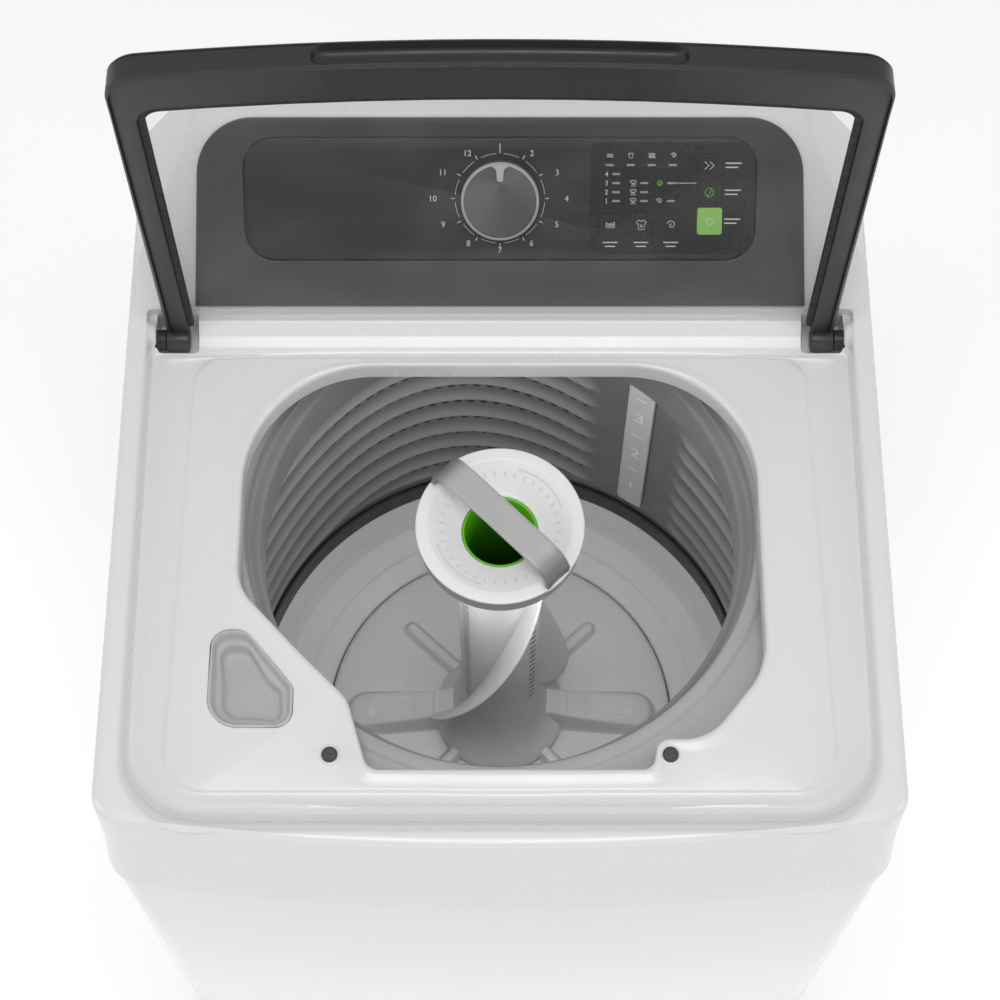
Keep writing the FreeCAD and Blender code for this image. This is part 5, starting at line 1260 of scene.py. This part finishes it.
# %% Dish, strap and strainer
cap_profile = [(34.2, 851), (36, 850.4), (63, 866.3), (74, 866.3), (74.9, 867.4), (75, 868.9),
               (74.2, 869.8), (72.6, 870), (66, 870), (63.5, 869.6), (61, 868.2), (57, 866.2),
               (44, 859.4), (37, 855.8), (35, 855.2), (34.2, 854.2)]
points, faces = turned(cap_profile, count=200, radius=0.9)
local = points[:, :2] - AXIS
along_strap = (local[:, 1] - local[:, 0]) / math.sqrt(2)
across_strap = (local[:, 1] + local[:, 0]) / math.sqrt(2)
notch = smooth(np.abs(along_strap), 66, 69) * (1 - smooth(np.abs(across_strap), 13.4, 15.2))
points[:, 2] -= notch * np.where(points[:, 2] > 867, 2.6, 0)
embossed = Finish("cap_embossed", grey(248), 0.33)
across, along, up = embossed.axes()
from_axis = across.hypot(along + 11)
cap_turn = embossed.node("ShaderNodeMath", {"operation": "ARCTAN2"}, along + 11, across)
ticks = abs((cap_turn * 5.73).part() - 0.5).ramp(0.09, 0.05) * abs(from_axis - 52).ramp(2.6, 2.0)
arcs = abs(from_axis - 58).ramp(0.9, 0.5) * (embossed.node(
    "ShaderNodeMath", {"operation": "SINE"}, cap_turn * 2) > 0.55)
# painted shade: the embossed ticks and arcs are painted a little darker than the white face
embossed.paint("Base Color", embossed.mix(ticks.most(arcs) * 0.35, grey(248), grey(212)))
embossed.paint("Roughness", embossed.noise(30).ramp(0.3, 0.7, 0.28, 0.4))
embossed.emboss(ticks.most(arcs) + embossed.noise(0.8) * 0.04, 0.35)
piece("cap_dish", points, faces, "filter", embossed, ("filter_cap",), "cap_plastic", sharp=50)

strap_grey = Finish("strap_plastic", grey(178), 0.34)
across, along, up = strap_grey.axes()
along_strap = (along + 11 - across) / math.sqrt(2)
# painted shade: the strap is painted darker towards both ends, where it bends down into its notches
ends = abs(along_strap).ramp(50, 66)
cloud = strap_grey.noise(30, 3)
strap_grey.paint("Base Color", strap_grey.mix(ends, strap_grey.mix(cloud, grey(178), grey(190)),
                                              grey(140)))
strap_grey.paint("Roughness", strap_grey.noise(20).ramp(0.3, 0.7, 0.28, 0.4))
strap_grey.emboss(strap_grey.noise(0.7, 3), 0.03)

path = softened([(-71.8, 866.6), (-72.2, 877), (-64, 889.5), (-50, 892.2), (0, 892.6), (50, 892.2),
                 (64, 889.5), (72.2, 877), (71.8, 866.6)], 9, 9)
steps = np.gradient(path, axis=0)
steps /= np.linalg.norm(steps, axis=1)[:, None]
above = np.column_stack([-steps[:, 1], steps[:, 0]])
loops = []
for (spot, height), normal in zip(path, above):
    section = []
    for side, lift in ((-13.7, -0.4), (-13.4, 0.8), (-12.4, 1.3), (-9, 1.15), (0, 0.6), (9, 1.15),
                       (12.4, 1.3), (13.4, 0.8), (13.7, -0.4), (13.5, -2.4), (12.6, -2.9), (8, -2.2),
                       (0, -2.1), (-8, -2.2), (-12.6, -2.9), (-13.5, -2.4)):
        section.append((side, spot + normal[0] * lift, height + normal[1] * lift))
    diagonal = 1 / math.sqrt(2)
    loops.append([(AXIS[0] + (side - run) * diagonal, AXIS[1] + (side + run) * diagonal, level)
                  for side, run, level in section])
piece("filter_strap", *skin(loops, caps=True), "filter", strap_grey, ("filter_handle",),
      "light_grey_plastic", sharp=50)
strainer_profile = [(31.4, 602.5), (0.2, 602.5), (0.2, 600.2), (33, 600.2), (33.6, 850), (33.9, 850),
                    (33.9, 853.8), (31.8, 853.8)]
piece("green_strainer", *turned(strainer_profile, count=120, radius=0.5), "filter", strainer,
      ("filter_cup",), "green_plastic")
print("filter made")

# %% [markdown]
# ## Cabinet, back and the parts inside
# The wrapper is one folded sheet with a rear panel screwed over its opening. The back matters as
# much as the front, because a machine in a library is turned round: the panel keeps its CAD shape
# with eased edges, the screws get washers and a hexagon, and the drain outlet and hose take a ringed
# hose finish. The parts inside keep their CAD shapes, which are already right, and take their own
# metals and plastics.

# %% Body panels with eased edges
eased("cabinet_wrapper", "cabinet", 0.3, enamel, segments=2, angle=50)
eased("rear_cover", "rear_panel", 0.4, zinc, segments=2, angle=50)
eased("base_tray", "base_frame", 0.8, zinc, segments=2, angle=50)

foot_parts, nut_parts = [], []
for side in (-285, 285):
    for deep in (-285, 285):
        foot_parts.append(turned([(0.2, 0.0), (20.4, 0.0), (21.8, 1.4), (22, 3), (21.2, 4.0),
                                  (22, 5), (21.4, 8), (17.2, 12.4), (12, 14.6), (0.2, 14.6)],
                                 (side, deep), 48, 0.9))
        nut_parts.append(turned([(0.2, 14.4), (4.9, 14.4), (4.9, 60), (0.2, 60)], (side, deep), 24, 0.5))
        nut_parts.append(turned([(5.0, 20.8), (9.4, 20.8), (9.4, 27.2), (5.0, 27.2)], (side, deep), 6,
                                0.6))
piece("foot_pads", *join(foot_parts), "machine", rubber, ("levelling_feet",), "black_rubber")
piece("foot_studs", *join(nut_parts), "machine", zinc, sharp=30)

screw_parts = []
for side in (-308, 308):
    for index in range(4):
        level = 100 + index * (835 - 80 - 80) / 3
        spin = np.linspace(0, 2 * math.pi, 36, endpoint=False)
        for profile, hexagon in ((((5.2, 333.9), (5.2, 334.6), (4.6, 335.0), (0.2, 335.0)), False),
                                 (((3.7, 334.8), (3.7, 336.6), (3.2, 337.1), (1.6, 337.2),
                                   (1.4, 336.4), (0.2, 336.3)), True)):
            loops = []
            for radius, back in profile:
                ring = radius / np.cos(np.mod(spin, math.pi / 3) - math.pi / 6) * 0.93 if (
                    hexagon and radius > 2) else np.full(len(spin), radius)
                loops.append(np.column_stack([side + ring * np.cos(spin), np.full(len(spin), back),
                                              level + ring * np.sin(spin)]))
            screw_parts.append(skin(loops))
piece("screw_heads", *join(screw_parts), "machine", zinc, ("panel_screws",), "galvanised_steel",
      sharp=30)
print("body panels made")

# %% Every CAD part that still shows takes a finish of its own
finishes = {
    "status_lights": lens, "control_board": circuit, "lid_gasket": rubber,
    "lid_glass": glass, "lid_pins": zinc, "outer_tub": natural, "tub_seal": rubber,
    "spin_tube": zinc, "agitator_bolt": zinc, "drive_shaft": zinc, "driven_pulley": cast,
    "tub_support": zinc, "bearing_housing": cast, "bearings": zinc, "gearcase": cast,
    "motor": dipped, "motor_pulley": cast, "drive_belt": belt_rubber, "drain_pump": tray_white_painted_shade,
    "pump_impeller": charcoal, "sump_hose": rubber, "suspension_rods": zinc,
    "suspension_cups": pebble, "suspension_springs": zinc, "inlet_valve": tray_white_painted_shade,
    "fill_nozzle": natural, "drain_outlet": hose, "cord_gland": pebble,
    "pressure_switch": tray_white_painted_shade, "drain_hose": hose,
}
for name, finish in finishes.items():
    nodes[name].data.materials.clear()
    nodes[name].data.materials.append(finish.material)
plain = [name for name in nodes if not nodes[name].hide_render and name not in finishes]
print("CAD parts dressed:", len(finishes), "left over:", plain)

# %% [markdown]
# ## Floor, light and camera
# A pale floor and a white surround keep the outline clean. The light is that of a product booth: a
# broad soft box above and slightly in front, and two weaker ones at the sides so that the edges of
# the white mouldings draw a thin bright line. The camera looks down steeply from the front.

# %% Floor and surround
floor_mesh = bpy.data.meshes.new("floor")
floor_mesh.from_pydata([(-6, -6, 0), (6, -6, 0), (6, 6, 0), (-6, 6, 0)], [], [(0, 1, 2, 3)])
floor = bpy.data.objects.new("floor", floor_mesh)
bpy.context.scene.collection.objects.link(floor)
paper = Finish("floor_paper", grey(250), 0.8, Emission_Strength=0.3)
paper.paint("Emission Color", (1.0, 1.0, 1.0))
paper.mottle(400, 0.01, 0.75, 0.85)
floor_mesh.materials.append(paper.material)

world = bpy.data.worlds.new("studio")
bpy.context.scene.world = world
world.use_nodes = True
SURROUND_LIGHT, SURROUND_SEEN = 0.45, 0.93  # what it lights with, and how bright it looks
backdrop = world.node_tree.nodes["Background"]
backdrop.inputs["Color"].default_value = (1, 1, 1, 1)
seen = world.node_tree.nodes.new("ShaderNodeLightPath")
strength = world.node_tree.nodes.new("ShaderNodeMapRange")
strength.inputs["To Min"].default_value = SURROUND_LIGHT
strength.inputs["To Max"].default_value = SURROUND_SEEN
world.node_tree.links.new(seen.outputs["Is Camera Ray"], strength.inputs["Value"])
world.node_tree.links.new(strength.outputs["Result"], backdrop.inputs["Strength"])


# %% Soft boxes and camera
def soft_box(name, place, aim, size, power):
    light = bpy.data.lights.new(name, "AREA")
    light.shape = "RECTANGLE"
    light.size, light.size_y = size
    light.energy = power
    holder = bpy.data.objects.new(name, light)
    holder.location = place
    holder.rotation_euler = (Vector(aim) - Vector(place)).to_track_quat("-Z", "Y").to_euler()
    holder.visible_camera = False
    holder.visible_glossy = size[0] > 0.3
    bpy.context.scene.collection.objects.link(holder)


soft_box("overhead", (0.0, -0.35, 3.7), (0, 0, 0.6), (1.3, 1.0), 26)
soft_box("left_side", (-2.2, -0.6, 2.0), (0, 0, 0.8), (0.5, 1.8), 9)
soft_box("right_side", (2.2, -0.6, 2.0), (0, 0, 0.8), (0.5, 1.8), 9)
soft_box("front", (0.0, -2.6, 1.6), (0, 0, 0.7), (2.0, 0.8), 7)

FILL_REACH, TUB_BACK = 0.12, -0.011  # four small lights in a ring round the tub's axis
for number in range(4):
    turn = math.radians(45 + 90 * number)
    across, along = FILL_REACH * math.cos(turn), TUB_BACK + FILL_REACH * math.sin(turn)
    soft_box(f"basket_fill_{number}", (across, along, 0.80), (across, along, 0.3), (0.12, 0.12), 0.26)

camera_data = bpy.data.cameras.new("camera")
camera_data.lens = 78.8
camera_data.sensor_width = 36
camera = bpy.data.objects.new("camera", camera_data)
camera.location = (0, -0.7745, 2.6457)
camera.rotation_euler = (math.radians(23.91), 0, 0)
bpy.context.scene.collection.objects.link(camera)
bpy.context.scene.camera = camera
bpy.context.scene.view_settings.view_transform = "Standard"
